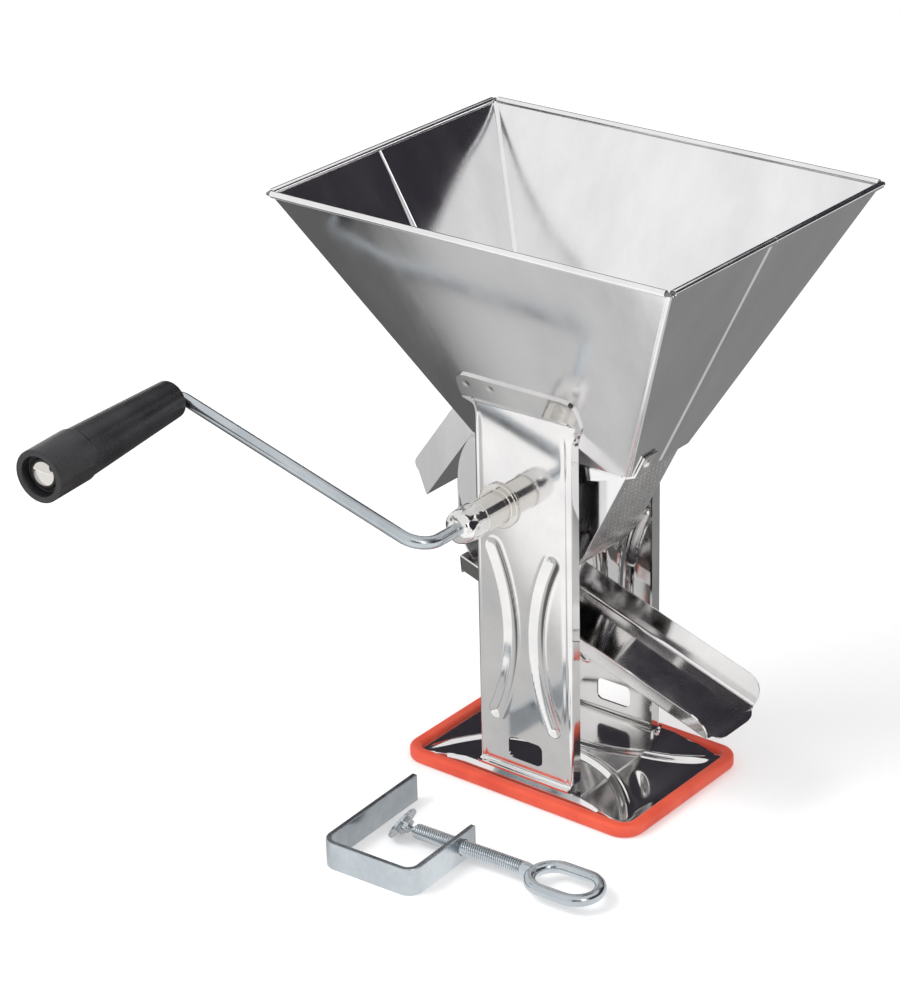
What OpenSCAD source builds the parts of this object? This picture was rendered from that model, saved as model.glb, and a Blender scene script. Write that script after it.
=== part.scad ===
// Hand-cranked tomato strainer in bright stainless sheet, with its table clamp lying beside it.
// Origin: middle of the base, on the table. +Z is up, +X points to the juice chute's mouth
// and -Y to the crank. "Near" is the crank's side, "far" the other one.

/* [Hopper] */
// Length of the hopper's rim, along the chute
rim_len = 240; // [215:1:260]
// Width of the hopper's rim, across the chute
rim_wid = 183.5; // [165:0.5:205]
// Height of the rim's top over the table
rim_z = 315.6; // [285:0.1:345]
// How far the rim lies to the far side of the base's middle
rim_shift = 6.8; // [0:0.1:10]
// Height of the throat over the table
throat_z = 187; // [184:0.5:192]
// Width of the throat
throat_wid = 53; // [50:0.5:56]
// Rear end of the throat, behind the base's middle
throat_rear = 41.5; // [38:0.5:45]
// Front end of the throat, ahead of the base's middle
throat_front = 55.5; // [54:0.5:60]
// Height of the rear wall's lower edge, over the waste window
window_z = 202; // [198:0.5:208]
// Thickness of the hopper's sheet
hopper_t = 0.8; // [0.6:0.1:1]
// Diameter of the rolled hem
hem_d = 3.6; // [3.2:0.1:4.5]
// Diameter of the wire in the hem
wire_d = 2; // [1.6:0.1:2.2]
// Width of the lap seam down each end wall
lap_wid = 6; // [4:0.5:9]
// Place of the lap seam across the hopper
seam_y = 0.8; // [0:0.1:3]

/* [Side panels] */
// Width of a side panel
panel_wid = 58.6; // [54:0.2:62]
// Distance over both panels' outer faces
panel_gap = 78.4; // [76:0.2:82]
// Thickness of the panels' sheet
panel_t = 1.2; // [1:0.1:1.4]
// Depth of the flanges along the panels' edges
flange_depth = 7; // [6:0.1:7.5]
// Height of the panels' lower edge over the table
foot_z = 10.6; // [10:0.1:11.5]
// Width of the foot that is bent out along the lower edge
foot_wid = 3.4; // [2.5:0.1:3.8]
// Height of the tab on the hopper's wall, along the slope
tab_high = 13; // [11:0.5:16]
// Radius of the tab's upper corners
tab_radius = 7; // [4:0.5:9]
// Width of a pressed bead
bead_wid = 8; // [6:0.5:9]
// Rise of a pressed bead over the sheet
bead_rise = 1.6; // [1:0.1:2]
// Radius of the bead's curve
bead_radius = 110; // [100:1:130]
// Least distance from the panel's middle to a bead's middle
bead_near = 8; // [7:0.5:9]
// Height of the bead's middle over the table
bead_z = 88; // [85:1:92]
// Half the angle that a bead spans
bead_half_angle = 25; // [20:0.5:26]
// Length of the clamp slot
slot_len = 21.4; // [18:0.2:23]
// Height of the clamp slot
slot_high = 12.4; // [10:0.2:13]
// Height of the clamp slot's middle over the table
slot_z = 23; // [21:0.5:26]

/* [Base] */
// Length of the base over its rubber rim
base_len = 147.4; // [140:0.2:156]
// Width of the base over its rubber rim
base_wid = 101.8; // [99:0.2:108]
// Radius of the base's corners
base_corner = 12; // [9:0.5:16]
// Width of the rubber rim
rubber_wid = 6.4; // [5.5:0.1:7]
// Height of the rubber rim
rubber_high = 7; // [6:0.1:8]
// Length of the raised land under the panels
land_len = 74; // [66:1:82]
// Thickness of the base's sheet
base_t = 1; // [0.8:0.1:1.2]

/* [Press chamber] */
// Place of the crank's axis behind the base's middle
axis_back = 13.5; // [12:0.1:15]
// Height of the crank's axis over the table
axis_z = 158.8; // [157:0.1:160]
// Inner width of the press chamber
chamber_wid = 44; // [40:0.5:45]
// Place of the drum's middle behind the base's middle
drum_back = 10.8; // [10:0.1:12]
// Height of the drum's middle over the table
drum_z = 156.5; // [155:0.1:158]
// Outer radius of the drum
drum_r = 42.5; // [42:0.1:43.5]
// Thickness of the chamber's sheets
chamber_t = 1; // [0.8:0.1:1.2]
// Front end of the sieve's top edge, ahead of the base's middle
sieve_top_x = 51.3; // [50:0.1:53]
// Height of the sieve's top edge
sieve_top_z = 184.6; // [182:0.1:185.4]
// Diameter of the sieve's holes
hole_d = 1.8; // [1.2:0.1:2.4]
// Distance between the sieve's rows of holes
hole_pitch = 3.4; // [3:0.1:5]

/* [Rotor] */
// Diameter of the shaft
shaft_d = 10; // [8:0.5:11]
// Diameter of the nylon roller
roller_d = 46; // [40:1:50]
// Reach of a paddle from the axis
paddle_reach = 36.6; // [34:0.1:36.8]
// Thickness of a paddle
paddle_t = 1.4; // [1:0.1:2]
// Depth of a paddle's groove in the roller
paddle_seat = 9; // [6:0.5:12]
// Number of paddles
paddle_n = 4; // [2:1:6]
// Outer diameter of the near bearing sleeve
sleeve_d = 17.4; // [16:0.2:19]
// Diameter of the bearing flanges
bearing_flange_d = 24; // [22:0.5:26]
// Thickness of the bearing flanges
bearing_flange_t = 2; // [1.5:0.1:3]
// Distance from the base's middle to the near sleeve's outer end
sleeve_end = 58.8; // [56:0.2:61]

/* [Crank] */
// Length of the crank's arm between axes
crank_len = 162.7; // [140:0.5:185]
// Direction of the arm over the table, from +X
crank_angle = 164.9; // [150:0.1:180]
// Distance from the base's middle to the arm's plane
crank_y = 100.8; // [96:0.2:108]
// Diameter of the crank's rod
rod_d = 6.6; // [6:0.1:7.5]
// Radius of the bend at the hub
hub_bend = 13; // [10:0.5:16]
// Radius of the bend at the grip
grip_bend = 5.5; // [5:0.5:7]
// Lean of the grip's axis towards the hub
grip_lean = 5.2; // [0:0.1:8]
// Diameter of the hub
hub_d = 18.2; // [17:0.2:20]
// Length of the hub
hub_len = 15.6; // [13:0.2:18]

/* [Grip] */
// Length of the grip
grip_len = 103; // [90:1:120]
// Diameter at the grip's outer end
grip_d = 28; // [26:0.5:31]
// Diameter at the grip's inner end
grip_neck_d = 20.6; // [19:0.2:23]
// Length of the grip's thick end
grip_end_len = 29; // [24:0.5:36]
// Diameter of the hollow in the thick end
grip_cup_d = 21; // [19:0.5:22]
// Depth of the hollow in the thick end
grip_cup = 6; // [4:0.5:8]
// Rounding of the grip's edges
grip_edge = 1.5; // [1:0.1:2]
// Diameter of the dome on the rod's end
dome_d = 16.4; // [14:0.2:18]

/* [Juice chute] */
// Slope of the chute below the horizontal
chute_tilt = 18; // [16:0.5:20]
// Height of the chute's top edges at chute_ref
chute_z = 89.6; // [87:0.1:91]
// Place ahead of the base's middle where chute_z is taken
chute_ref = 30; // [28:1:32]
// Length of the chute ahead of chute_ref, along the slope
chute_front = 80; // [70:0.5:90]
// Length of the chute behind chute_ref, along the slope
chute_rear = 84; // [80:0.5:87]
// Width of the chute's floor
chute_floor = 44; // [42:0.5:46]
// Width over the chute's top edges
chute_top = 56; // [54:0.2:60]
// Depth of the chute
chute_deep = 13.4; // [11:0.2:15]
// Radius of the chute's front corners
chute_corner = 10; // [6:0.5:11]
// Length of the lip that is bent down at the mouth
lip_len = 7; // [4:0.5:9]

/* [Waste slide] */
// Slope of the waste slide below the horizontal
slide_tilt = 54; // [50:0.2:57]
// Length of the waste slide's floor
slide_len = 49; // [45:0.5:60]
// Height of the waste slide's cheeks
slide_high = 16.4; // [13:0.2:19]
// Length that the cheeks' free ends lean back up the slope
slide_rake = 7.5; // [0:0.5:10]
// Radius of the cheeks' free corners
slide_corner = 5; // [3:0.5:7]

/* [Table clamp] */
// Length of the clamp's long arm
long_arm = 78; // [74:0.5:90]
// Length of the clamp's short arm
short_arm = 53.5; // [50:0.5:60]
// Width over the clamp's back
clamp_back = 57; // [52:0.5:66]
// Width of the clamp's strap
strap_wid = 15; // [12:0.5:18]
// Thickness of the clamp's strap
strap_t = 3; // [2.5:0.1:3.6]
// Outer radius of the clamp's corners
clamp_corner = 8; // [6:0.5:12]
// Turn of the clamp on the table
clamp_yaw = 2.7; // [0:0.1:6]
// Place of the clamp's corner behind the base's middle
clamp_x = 38.3; // [34:0.1:44]
// Distance from the base's middle to the clamp's corner
clamp_y = 157.5; // [156:0.5:180]
// Diameter of the clamp's screw
screw_d = 8; // [7:0.1:9]
// Distance from the short arm's end to the screw
screw_inset = 10.5; // [8:0.5:14]
// Distance from the clamp's corner to the screw's ball
ball_x = 21.5; // [18:0.5:26]
// Length of the screw from its ball to the eye
shank_len = 74; // [66:0.5:84]
// Diameter of the eye's rod
eye_rod = 6.4; // [5:0.1:7]
// Outer length of the eye
eye_len = 43; // [36:0.5:48]
// Outer width of the eye
eye_wid = 30; // [26:0.5:34]
// Diameter of the pressure pad
pad_d = 19; // [16:0.5:20]
// Thickness of the pressure pad
pad_t = 1.6; // [1.2:0.1:2]
// Tilt of the pad as it lies
pad_tilt = 30; // [29:1:38]
// Diameter of the screw's ball
ball_d = 6; // [5:0.1:6.4]

/* [Hidden] */
$fn = 96;
// Overrun of every cut
cut = 1;
// Gap between parts that slide past each other
play = 0.3;
// Overlap that joins two stretches of one sheet or rod
weld = 0.2;
// Radial clearance of a running fit
fit = 0.05;
steel = "#d9dbde";
zinc = "#b9c4cc";

axis_x = -axis_back;
drum_x = -drum_back;
panel_y = panel_gap / 2;
hem_z = rim_z - hem_d / 2;
// Outer places of the hopper's walls at the hem's middle
hem_x = rim_len / 2 - hem_d / 2;
hem_near = rim_shift - rim_wid / 2 + hem_d / 2;
hem_far = rim_shift + rim_wid / 2 - hem_d / 2;
wall_high = hem_z - throat_z;
// Outward run of each wall for each unit of height
rear_run = (hem_x - throat_rear) / wall_high;
front_run = (hem_x - throat_front) / wall_high;
near_run = (-throat_wid / 2 - hem_near) / wall_high;
far_run = (hem_far - throat_wid / 2) / wall_high;
// Height where a hopper wall crosses a panel's outer face
near_bend_z = throat_z + (panel_y - throat_wid / 2) / near_run;
far_bend_z = throat_z + (panel_y - throat_wid / 2) / far_run;

// Tab that holds the sieve's top to the hopper's front wall, with its rivet
sieve_tab_wid = 11;
sieve_tab_high = 12;
tab_y = -chamber_wid / 2 + sieve_tab_wid / 2;
rivet_d = 3;

// Direction of the sieve, a straight line that touches the drum
top_dx = sieve_top_x - drum_x;
top_dz = sieve_top_z - drum_z;
top_dist = norm([top_dx, top_dz]);
touch_angle = atan2(top_dz, top_dx) - acos(drum_r / top_dist);
sieve_len = sqrt(top_dist * top_dist - drum_r * drum_r);
// How much the sieve's sheet thins on each side in its bend
bend_thin = 0.03;
// Number of flats that the sieve's bend is made of
sieve_bend_n = 24;
// Angles on the drum where the sieve ends and where the casing ends
sieve_end_angle = -100;
casing_end_angle = 90 + slide_tilt;
casing_top_x = drum_x + drum_r * cos(casing_end_angle);
casing_top_z = drum_z + drum_r * sin(casing_end_angle);

base_in_len = base_len - 2 * rubber_wid;
base_in_wid = base_wid - 2 * rubber_wid;
groove = 1.2;
land_z = foot_z - panel_t;
land_wid = panel_gap + 2 * foot_wid - base_t;

chute_rear_x = chute_ref - chute_rear * cos(chute_tilt);
chute_rear_z = chute_z + chute_rear * sin(chute_tilt);

// Hub: share that holds the shaft, and share that tapers
hub_seat_share = 0.55;
hub_taper_share = 0.3;
hub_start = sleeve_end + play;
hub_end = hub_start + hub_len;
shaft_near = hub_start + hub_len * hub_seat_share;
// Clip on the shaft's far end, in shares of the shaft's diameter
clip_t = 1.4;
clip_share = 1.7;
clip_bore_share = 0.8;
clip_mouth_share = 0.8;
clip_start = panel_y + bearing_flange_t + play;
clip_bore = shaft_d * clip_bore_share;
roller_wid = chamber_wid - 4 * play;

// Angle that the rod turns through at the grip, and the length of that bend's tangents
grip_turn = 90 + grip_lean;
grip_tangent = grip_bend * tan(grip_turn / 2);
grip_start = grip_tangent + play;
// The rod thins a little in its bends
bend_share = 0.985;
bend_d = rod_d * bend_share;
rod_end = grip_start + grip_len - grip_cup / 2;
grip_step_share = 0.12;
dome_share = 0.32;

screw_y = short_arm - screw_inset;
screw_z = strap_wid / 2;
// Stem of the ball and boss of the pad, in shares of the ball's diameter
stem_share = 0.5;
stem_len_share = 1.8;
pad_boss_share = 1.6;
stem_d = ball_d * stem_share;
stem_len = ball_d * stem_len_share;
shank_start = ball_x + ball_d;

// Extrudes an outline drawn in X and Z to a width centred on Y
module across(width) {
    rotate([90, 0, 0]) linear_extrude(width, center = true) children();
}

// Turns a shape about Z into a shape about an axis along Y, growing towards -Y
module along_y() {
    rotate([90, 0, 0]) children();
}

// Rectangle with four round corners, made without offsets so that it stays exact
module round_rect(length, width, corner) {
    union() {
        square([length, width - 2 * corner], center = true);
        square([length - 2 * corner, width], center = true);
        for (sx = [-1, 1], sy = [-1, 1])
            translate([sx * (length / 2 - corner), sy * (width / 2 - corner)]) circle(corner);
    }
}

// Block whose floor and roof are rectangles: [x0, x1, y0, y1, z]
module taper_block(low, high) {
    polyhedron(
        points = [[low[0], low[2], low[4]], [low[1], low[2], low[4]], [low[1], low[3], low[4]],
            [low[0], low[3], low[4]], [high[0], high[2], high[4]], [high[1], high[2], high[4]],
            [high[1], high[3], high[4]], [high[0], high[3], high[4]]],
        faces = [[0, 1, 2, 3], [7, 6, 5, 4], [4, 5, 1, 0], [5, 6, 2, 1], [6, 7, 3, 2], [7, 4, 0, 3]]);
}

// Rectangle of the hopper's outer faces at height z, grown outward by g
function hopper_rect(z, g) = [
    -throat_rear - rear_run * (z - throat_z) - g * norm([1, rear_run]),
    throat_front + front_run * (z - throat_z) + g * norm([1, front_run]),
    -throat_wid / 2 - near_run * (z - throat_z) - g * norm([1, near_run]),
    throat_wid / 2 + far_run * (z - throat_z) + g * norm([1, far_run]), z];

// Wall of the hopper between two heights, from g outward by t
module hopper_wall(z0, z1, g, t) {
    difference() {
        taper_block(hopper_rect(z0, g + t), hopper_rect(z1, g + t));
        taper_block(hopper_rect(z0 - cut, g), hopper_rect(z1 + cut, g));
    }
}

// Half space on one side of a plane across Y, as a large block
module side_block(from_y, to_y) {
    translate([-rim_len, from_y, 0]) cube([2 * rim_len, to_y - from_y, rim_z + cut]);
}

// Cylinder between two points of one height, longer at both ends by over
module hem_tube(from, to, d, over) {
    run = to - from;
    translate(from) rotate([0, 0, atan2(run[1], run[0])]) rotate([0, 90, 0])
        translate([0, 0, -over]) cylinder(h = norm(run) + 2 * over, d = d);
}

// Rolled hem of one half: side is -1 for the near half and 1 for the far one
module hem(side, d, over) {
    corner_gap = hem_d;
    y = side < 0 ? hem_near : hem_far;
    hem_tube([-hem_x + corner_gap, y, hem_z], [hem_x - corner_gap, y, hem_z], d, over);
    for (sx = [-1, 1])
        hem_tube([sx * hem_x, min(seam_y, y - side * corner_gap), hem_z],
            [sx * hem_x, max(seam_y, y - side * corner_gap), hem_z], d, over);
}

module hopper_half(side) {
    // The walls end inside the hem, under its wire
    top_z = hem_z - (hem_d + wire_d) / 4;
    color(steel) difference() {
        union() {
            intersection() {
                hopper_wall(throat_z, top_z, -hopper_t, hopper_t);
                side_block(side < 0 ? -rim_wid : seam_y, side < 0 ? seam_y : rim_wid);
            }
            if (side < 0) {
                intersection() {
                    hopper_wall(throat_z, hem_z - hem_d / 2 - play, 0, hopper_t);
                    side_block(seam_y - weld, seam_y + lap_wid);
                }
                // Joggle that steps out over the far half's edge
                intersection() {
                    hopper_wall(throat_z, hem_z - hem_d / 2 - play, -hopper_t / 2,
                        hopper_t * 3 / 2);
                    side_block(seam_y - lap_wid / 2, seam_y);
                }
            }
            hem(side, hem_d, 0);
        }
        hem(side, wire_d, cut);
        // Window over the waste slide, in the rear wall
        translate([-rim_len, -throat_wid / 2 + 2 * hopper_t, throat_z - cut])
            cube([rim_len - throat_rear + hopper_t * norm([1, rear_run]) + play,
                throat_wid - 4 * hopper_t, window_z - throat_z + cut]);
        rivet_bore();
    }
}

// Bore for the rivet through the hopper's front wall and the sieve's tab
module rivet_bore() {
    at = wall_point(play, sieve_tab_high / 2);
    translate([at[0], tab_y, at[1]]) rotate([0, atan(front_run), 0]) rotate([0, 90, 0])
        translate([0, 0, -hopper_t - cut]) cylinder(h = hopper_t + chamber_t + 2 * cut, d = rivet_d);
}

module hopper_near_half() {
    hopper_half(-1);
}

module hopper_far_half() {
    hopper_half(1);
}

module rim_wire() {
    color("dimgray") union() {
        for (y = [hem_near, hem_far]) {
            hem_tube([-hem_x, y, hem_z], [hem_x, y, hem_z], wire_d, 0);
            for (sx = [-1, 1]) translate([sx * hem_x, y, hem_z]) sphere(d = wire_d);
        }
        for (sx = [-1, 1])
            hem_tube([sx * hem_x, hem_near, hem_z], [sx * hem_x, hem_far, hem_z], wire_d, 0);
    }
}

module bead_2d(rise, width) {
    // Flat arc segment of the given rise over a chord of the given width
    radius = (width * width / 4 + rise * rise) / (2 * rise);
    intersection() {
        translate([0, rise - radius]) circle(radius);
        translate([-width / 2, 0]) square([width, rise + cut]);
    }
}

// Two curved beads that bow towards each other, on a panel that faces -Y
module bead_pair(rise, width) {
    for (sx = [-1, 1])
        translate([sx * (bead_near + bead_radius), 0, bead_z]) rotate([90, 0, 0])
            rotate([0, 0, (sx < 0 ? 0 : 180) - bead_half_angle])
                rotate_extrude(angle = 2 * bead_half_angle)
                    translate([bead_radius, 0]) bead_2d(rise, width);
}

// Outline drawn in from a panel's outer face and up, carried along the panel's width
module panel_profile(width, points) {
    translate([0, -panel_y, 0]) rotate([90, 0, 90]) linear_extrude(width, center = true)
        polygon(points);
}

// Panel on the near side; bend_z and run follow the hopper's wall above it
module side_panel(bend_z, run) {
    half = panel_wid / 2;
    lean = atan(run);
    tab_half = half + flange_depth;
    tab_foot = panel_t * tan(lean / 2);
    color(steel) difference() {
        union() {
            // Face, and the root of the tab, up against the hopper's wall
            panel_profile(panel_wid, [[0, foot_z], [panel_t, foot_z],
                [panel_t, bend_z - panel_t / run], [0, bend_z],
                [-tab_foot * sin(lean), bend_z + tab_foot * cos(lean)],
                [-tab_foot * sin(lean) - panel_t * cos(lean),
                    bend_z + tab_foot * cos(lean) - panel_t * sin(lean)],
                [0, bend_z - tab_foot]]);
            // Flanges along both edges
            for (sx = [-1, 1]) translate([sx * (half - panel_t / 2), 0, 0])
                panel_profile(panel_t, [[0, foot_z], [flange_depth, foot_z],
                    [flange_depth, bend_z - flange_depth / run], [0, bend_z]]);
            // Foot bent out on the base
            translate([-half, -panel_y - foot_wid, foot_z - panel_t])
                cube([panel_wid, foot_wid + panel_t, panel_t]);
            // Tab on the hopper's wall
            translate([0, -panel_y, bend_z]) rotate([lean, 0, 0])
                translate([0, 0, tab_foot]) rotate([90, 0, 0]) linear_extrude(panel_t) union() {
                    translate([-tab_half, 0]) square([2 * tab_half, tab_high - tab_radius]);
                    translate([-tab_half + tab_radius, 0])
                        square([2 * (tab_half - tab_radius), tab_high]);
                    for (sx = [-1, 1])
                        translate([sx * (tab_half - tab_radius), tab_high - tab_radius])
                            circle(tab_radius);
                }
            translate([0, -panel_y, 0]) bead_pair(bead_rise, bead_wid);
            chute_lugs();
        }
        translate([0, -panel_y + panel_t, 0])
            bead_pair(bead_rise, bead_wid - panel_t);
        // Clamp slot
        translate([0, -panel_y, slot_z]) rotate([90, 0, 0])
            linear_extrude(2 * panel_t + 2 * cut, center = true)
                round_rect(slot_len, slot_high, slot_high / 4);
        // Bore for the bearing
        translate([axis_x, -panel_y - cut, axis_z]) rotate([-90, 0, 0])
            cylinder(h = panel_t + 2 * cut, d = sleeve_d);
    }
}

module near_side_panel() {
    side_panel(near_bend_z, near_run);
}

module far_side_panel() {
    mirror([0, 1, 0]) side_panel(far_bend_z, far_run);
}

module rubber_rim() {
    color("#d9573f") difference() {
        union() {
            linear_extrude(rubber_high - groove) round_rect(base_len, base_wid, base_corner);
            linear_extrude(rubber_high)
                round_rect(base_len - groove, base_wid - groove, base_corner - groove / 2);
        }
        translate([0, 0, -cut]) linear_extrude(rubber_high + 2 * cut)
            round_rect(base_in_len, base_in_wid, base_corner - rubber_wid);
        // Groove that holds the plate's edge
        translate([0, 0, rubber_high / 2]) linear_extrude(base_t)
            round_rect(base_in_len + 2 * groove, base_in_wid + 2 * groove,
                base_corner - rubber_wid + groove);
    }
}

module base_plate() {
    low_z = rubber_high / 2;
    half_x = base_in_len / 2;
    half_y = base_in_wid / 2;
    color(steel) difference() {
        union() {
            translate([0, 0, low_z]) linear_extrude(base_t)
                round_rect(base_in_len + 2 * groove, base_in_wid + 2 * groove,
                    base_corner - rubber_wid + groove);
            taper_block([-half_x + play, half_x - play, -half_y + play, half_y - play, low_z],
                [-land_len / 2, land_len / 2, -land_wid / 2, land_wid / 2, land_z]);
        }
        taper_block([-half_x + play + base_t, half_x - play - base_t, -half_y + play + base_t,
                half_y - play - base_t, low_z - base_t],
            [-land_len / 2, land_len / 2, -land_wid / 2 + base_t, land_wid / 2 - base_t,
                land_z - base_t]);
    }
}

// Side view of the press chamber: the drum and the funnel that leads to the sieve
module chamber_outline() {
    touch = [drum_x + drum_r * cos(touch_angle), drum_z + drum_r * sin(touch_angle)];
    union() {
        intersection() {
            translate([drum_x, drum_z]) circle(drum_r);
            translate([drum_x - 2 * drum_r, throat_z - 4 * drum_r]) square(4 * drum_r);
        }
        polygon([[drum_x, drum_z], touch, [sieve_top_x, sieve_top_z], [sieve_top_x, throat_z],
            [-throat_rear, throat_z], [casing_top_x, casing_top_z]]);
    }
}

module press_cheek(side) {
    ledge = throat_wid / 2 - chamber_wid / 2;
    color(steel) difference() {
        union() {
            translate([0, side * (chamber_wid + chamber_t) / 2, 0]) across(chamber_t)
                chamber_outline();
            // Ledge that carries the hopper's lower edge
            translate([-throat_rear, side < 0 ? -throat_wid / 2 : chamber_wid / 2,
                    throat_z - chamber_t])
                cube([throat_rear + sieve_top_x, ledge, chamber_t]);
        }
        translate([axis_x, 0, axis_z]) rotate([90, 0, 0])
            cylinder(h = throat_wid + 2 * cut, d = shaft_d + 2 * play, center = true);
    }
}

module near_press_cheek() {
    press_cheek(-1);
}

module far_press_cheek() {
    press_cheek(1);
}

// Part of the drum's skin between two angles
module drum_skin(from, to) {
    translate([drum_x, 0, drum_z]) rotate([90, 0, 0]) rotate([0, 0, from])
        rotate_extrude(angle = to - from)
            translate([drum_r - chamber_t, -chamber_wid / 2]) square([chamber_t, chamber_wid]);
}

// Point in X and Z on the drum, at a radius and an angle
function drum_at(radius, angle) = [drum_x + radius * cos(angle), drum_z + radius * sin(angle)];

module sieve_plate() {
    margin = hole_pitch;
    rows = floor((sieve_len - 2 * margin) / hole_pitch);
    cols = floor((chamber_wid - 2 * margin) / hole_pitch);
    bend = [for (i = [0:sieve_bend_n]) sieve_end_angle
        + (touch_angle - sieve_end_angle) * i / sieve_bend_n];
    // Middle of the sheet's top edge, and a step down the sheet from there
    top = [sieve_top_x, sieve_top_z] - [cos(touch_angle), sin(touch_angle)] * chamber_t / 2;
    down = [sin(touch_angle), -cos(touch_angle)] * chamber_t;
    stub = [-sin(touch_angle), cos(touch_angle)] * weld;
    // The sheet thins a little in its bend
    out_r = drum_r - bend_thin;
    in_r = drum_r - chamber_t + bend_thin;
    color(steel) union() {
        // Flat stretch, from the line where it leaves the drum up to its top edge
        translate([drum_x, 0, drum_z]) rotate([0, -touch_angle, 0])
            translate([drum_r - chamber_t, 0, 0]) rotate([90, 0, 90])
                linear_extrude(chamber_t) difference() {
                    translate([-chamber_wid / 2, 0]) square([chamber_wid, sieve_len]);
                    // Every other row is moved by half a pitch and has one hole less
                    for (i = [0:rows], j = [0:cols - i % 2])
                        translate([(j - (cols - i % 2) / 2) * hole_pitch, margin / 2 + i * hole_pitch])
                            circle(d = hole_d, $fn = 24);
                }
        // Stretch that is bent round the drum
        across(chamber_wid - 2 * bend_thin) polygon(concat([for (a = bend) drum_at(out_r, a)],
            [drum_at(out_r, touch_angle) + stub, drum_at(in_r, touch_angle) + stub],
            [for (i = [0:sieve_bend_n]) drum_at(in_r, bend[sieve_bend_n - i])]));
        // Tab that is bent out and up over the hopper's front wall
        difference() {
            translate([0, tab_y + bend_thin, 0]) across(sieve_tab_wid) polygon([top + down / 2,
                wall_point(play, -play), wall_point(play, sieve_tab_high),
                wall_point(play + chamber_t, sieve_tab_high),
                wall_point(play + chamber_t, -chamber_t), top + 2 * down]);
            rivet_bore();
        }
    }
}

// Point in X and Z at a distance out from the hopper's front wall and up along it
function wall_point(out, up) = [
    throat_front + (out + up * front_run) / norm([1, front_run]),
    throat_z + (up - out * front_run) / norm([1, front_run])];

module sieve_rivet() {
    at = wall_point(play, sieve_tab_high / 2);
    color("silver") translate([at[0], tab_y, at[1]]) rotate([0, atan(front_run), 0])
        rotate([0, 90, 0]) union() {
            translate([0, 0, -play - hopper_t]) cylinder(h = play + hopper_t + chamber_t, d = rivet_d);
            translate([0, 0, chamber_t]) intersection() {
                translate([0, 0, -rivet_d / 2]) sphere(d = 2 * rivet_d);
                cylinder(h = rivet_d, d = 2 * rivet_d);
            }
        }
}

module rear_casing() {
    color(steel) drum_skin(casing_end_angle, 360 + sieve_end_angle);
}

// Sheet from the drum's back down into the chute's rear end
module splash_back() {
    top_x = drum_x - drum_r - chamber_t;
    low_x = chute_rear_x + 4 * chamber_t;
    low_z = chute_rear_z - chute_deep / 5;
    bend_z = chute_rear_z + chute_deep * 3 / 4;
    color(steel) across(chamber_wid) polygon([[top_x, drum_z], [top_x + chamber_t, drum_z],
        [top_x + chamber_t, bend_z], [low_x + chamber_t, low_z], [low_x, low_z],
        [top_x, bend_z - chamber_t / 2]]);
}

module waste_slide() {
    // Corner of the throat and of the window, where the cheeks meet the hopper
    window_x = -throat_rear - rear_run * (window_z - throat_z);
    tip_u = slide_len - slide_rake;
    function at(u, v) = [casing_top_x - u * cos(slide_tilt) - v * sin(slide_tilt),
        casing_top_z - u * sin(slide_tilt) + v * cos(slide_tilt)];
    color(steel) union() {
        across(chamber_wid) polygon([at(0, 0), at(slide_len, 0), at(slide_len, chamber_t),
            at(0, chamber_t)]);
        for (side = [-1, 1]) translate([0, side * (chamber_wid + chamber_t) / 2, 0])
            across(chamber_t) union() {
                polygon([at(0, 0), [-throat_rear, throat_z], [window_x, window_z],
                    at(tip_u - slide_corner, slide_high), at(tip_u, slide_high - slide_corner),
                    at(slide_len, 0)]);
                translate(at(tip_u - slide_corner, slide_high - slide_corner))
                    circle(slide_corner);
            }
    }
}

// Section of the chute across its length; grow moves the outside in
module chute_section(grow) {
    slope = (chute_top - chute_floor) / 2 / chute_deep;
    side = grow * norm([1, slope]);
    low = -chute_deep + grow;
    half_low = chute_floor / 2 + slope * grow - side;
    half_top = chute_top / 2 - side;
    lift = grow > 0 ? cut : 0;
    polygon([[-half_low, low], [half_low, low], [half_top + slope * lift, lift],
        [-half_top - slope * lift, lift]]);
}

module juice_chute() {
    bend = lip_len / 2;
    color(steel) translate([chute_ref, 0, chute_z]) rotate([0, chute_tilt, 0]) union() {
        // Floor and walls, with the walls' front corners rounded
        intersection() {
            translate([-chute_rear, 0, 0]) rotate([90, 0, 90])
                linear_extrude(chute_rear + chute_front - bend) difference() {
                    chute_section(0);
                    chute_section(chamber_t);
                }
            across(chute_top + 2 * cut) union() {
                translate([-chute_rear - cut, -chute_deep - cut])
                    square([chute_rear + chute_front - bend - chute_corner + cut,
                        chute_deep + 2 * cut]);
                translate([-chute_rear - cut, -chute_deep - cut])
                    square([chute_rear + chute_front - bend + cut,
                        chute_deep + cut - chute_corner]);
                translate([chute_front - bend - chute_corner, -chute_corner])
                    circle(chute_corner);
            }
        }
        // Rear end
        translate([-chute_rear, 0, 0]) rotate([90, 0, 90]) linear_extrude(chamber_t)
            chute_section(0);
        // Lip, bent down at the mouth
        translate([chute_front - bend, 0, -chute_deep + chamber_t - bend]) union() {
            across(chute_floor) intersection() {
                difference() {
                    circle(bend);
                    circle(bend - chamber_t);
                }
                square(bend);
            }
            rotate([90, 0, 90]) translate([0, 0, bend - chamber_t])
                linear_extrude(chamber_t) union() {
                    translate([-chute_floor / 2, -bend / 2]) square([chute_floor, bend / 2]);
                    translate([-chute_floor / 2 + bend, -bend])
                        square([chute_floor - 2 * bend, bend]);
                    for (sy = [-1, 1]) translate([sy * (chute_floor / 2 - bend), 0])
                        intersection() {
                            circle(bend);
                            translate([-bend, -bend]) square([2 * bend, bend]);
                        }
                }
        }
    }
}

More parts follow.
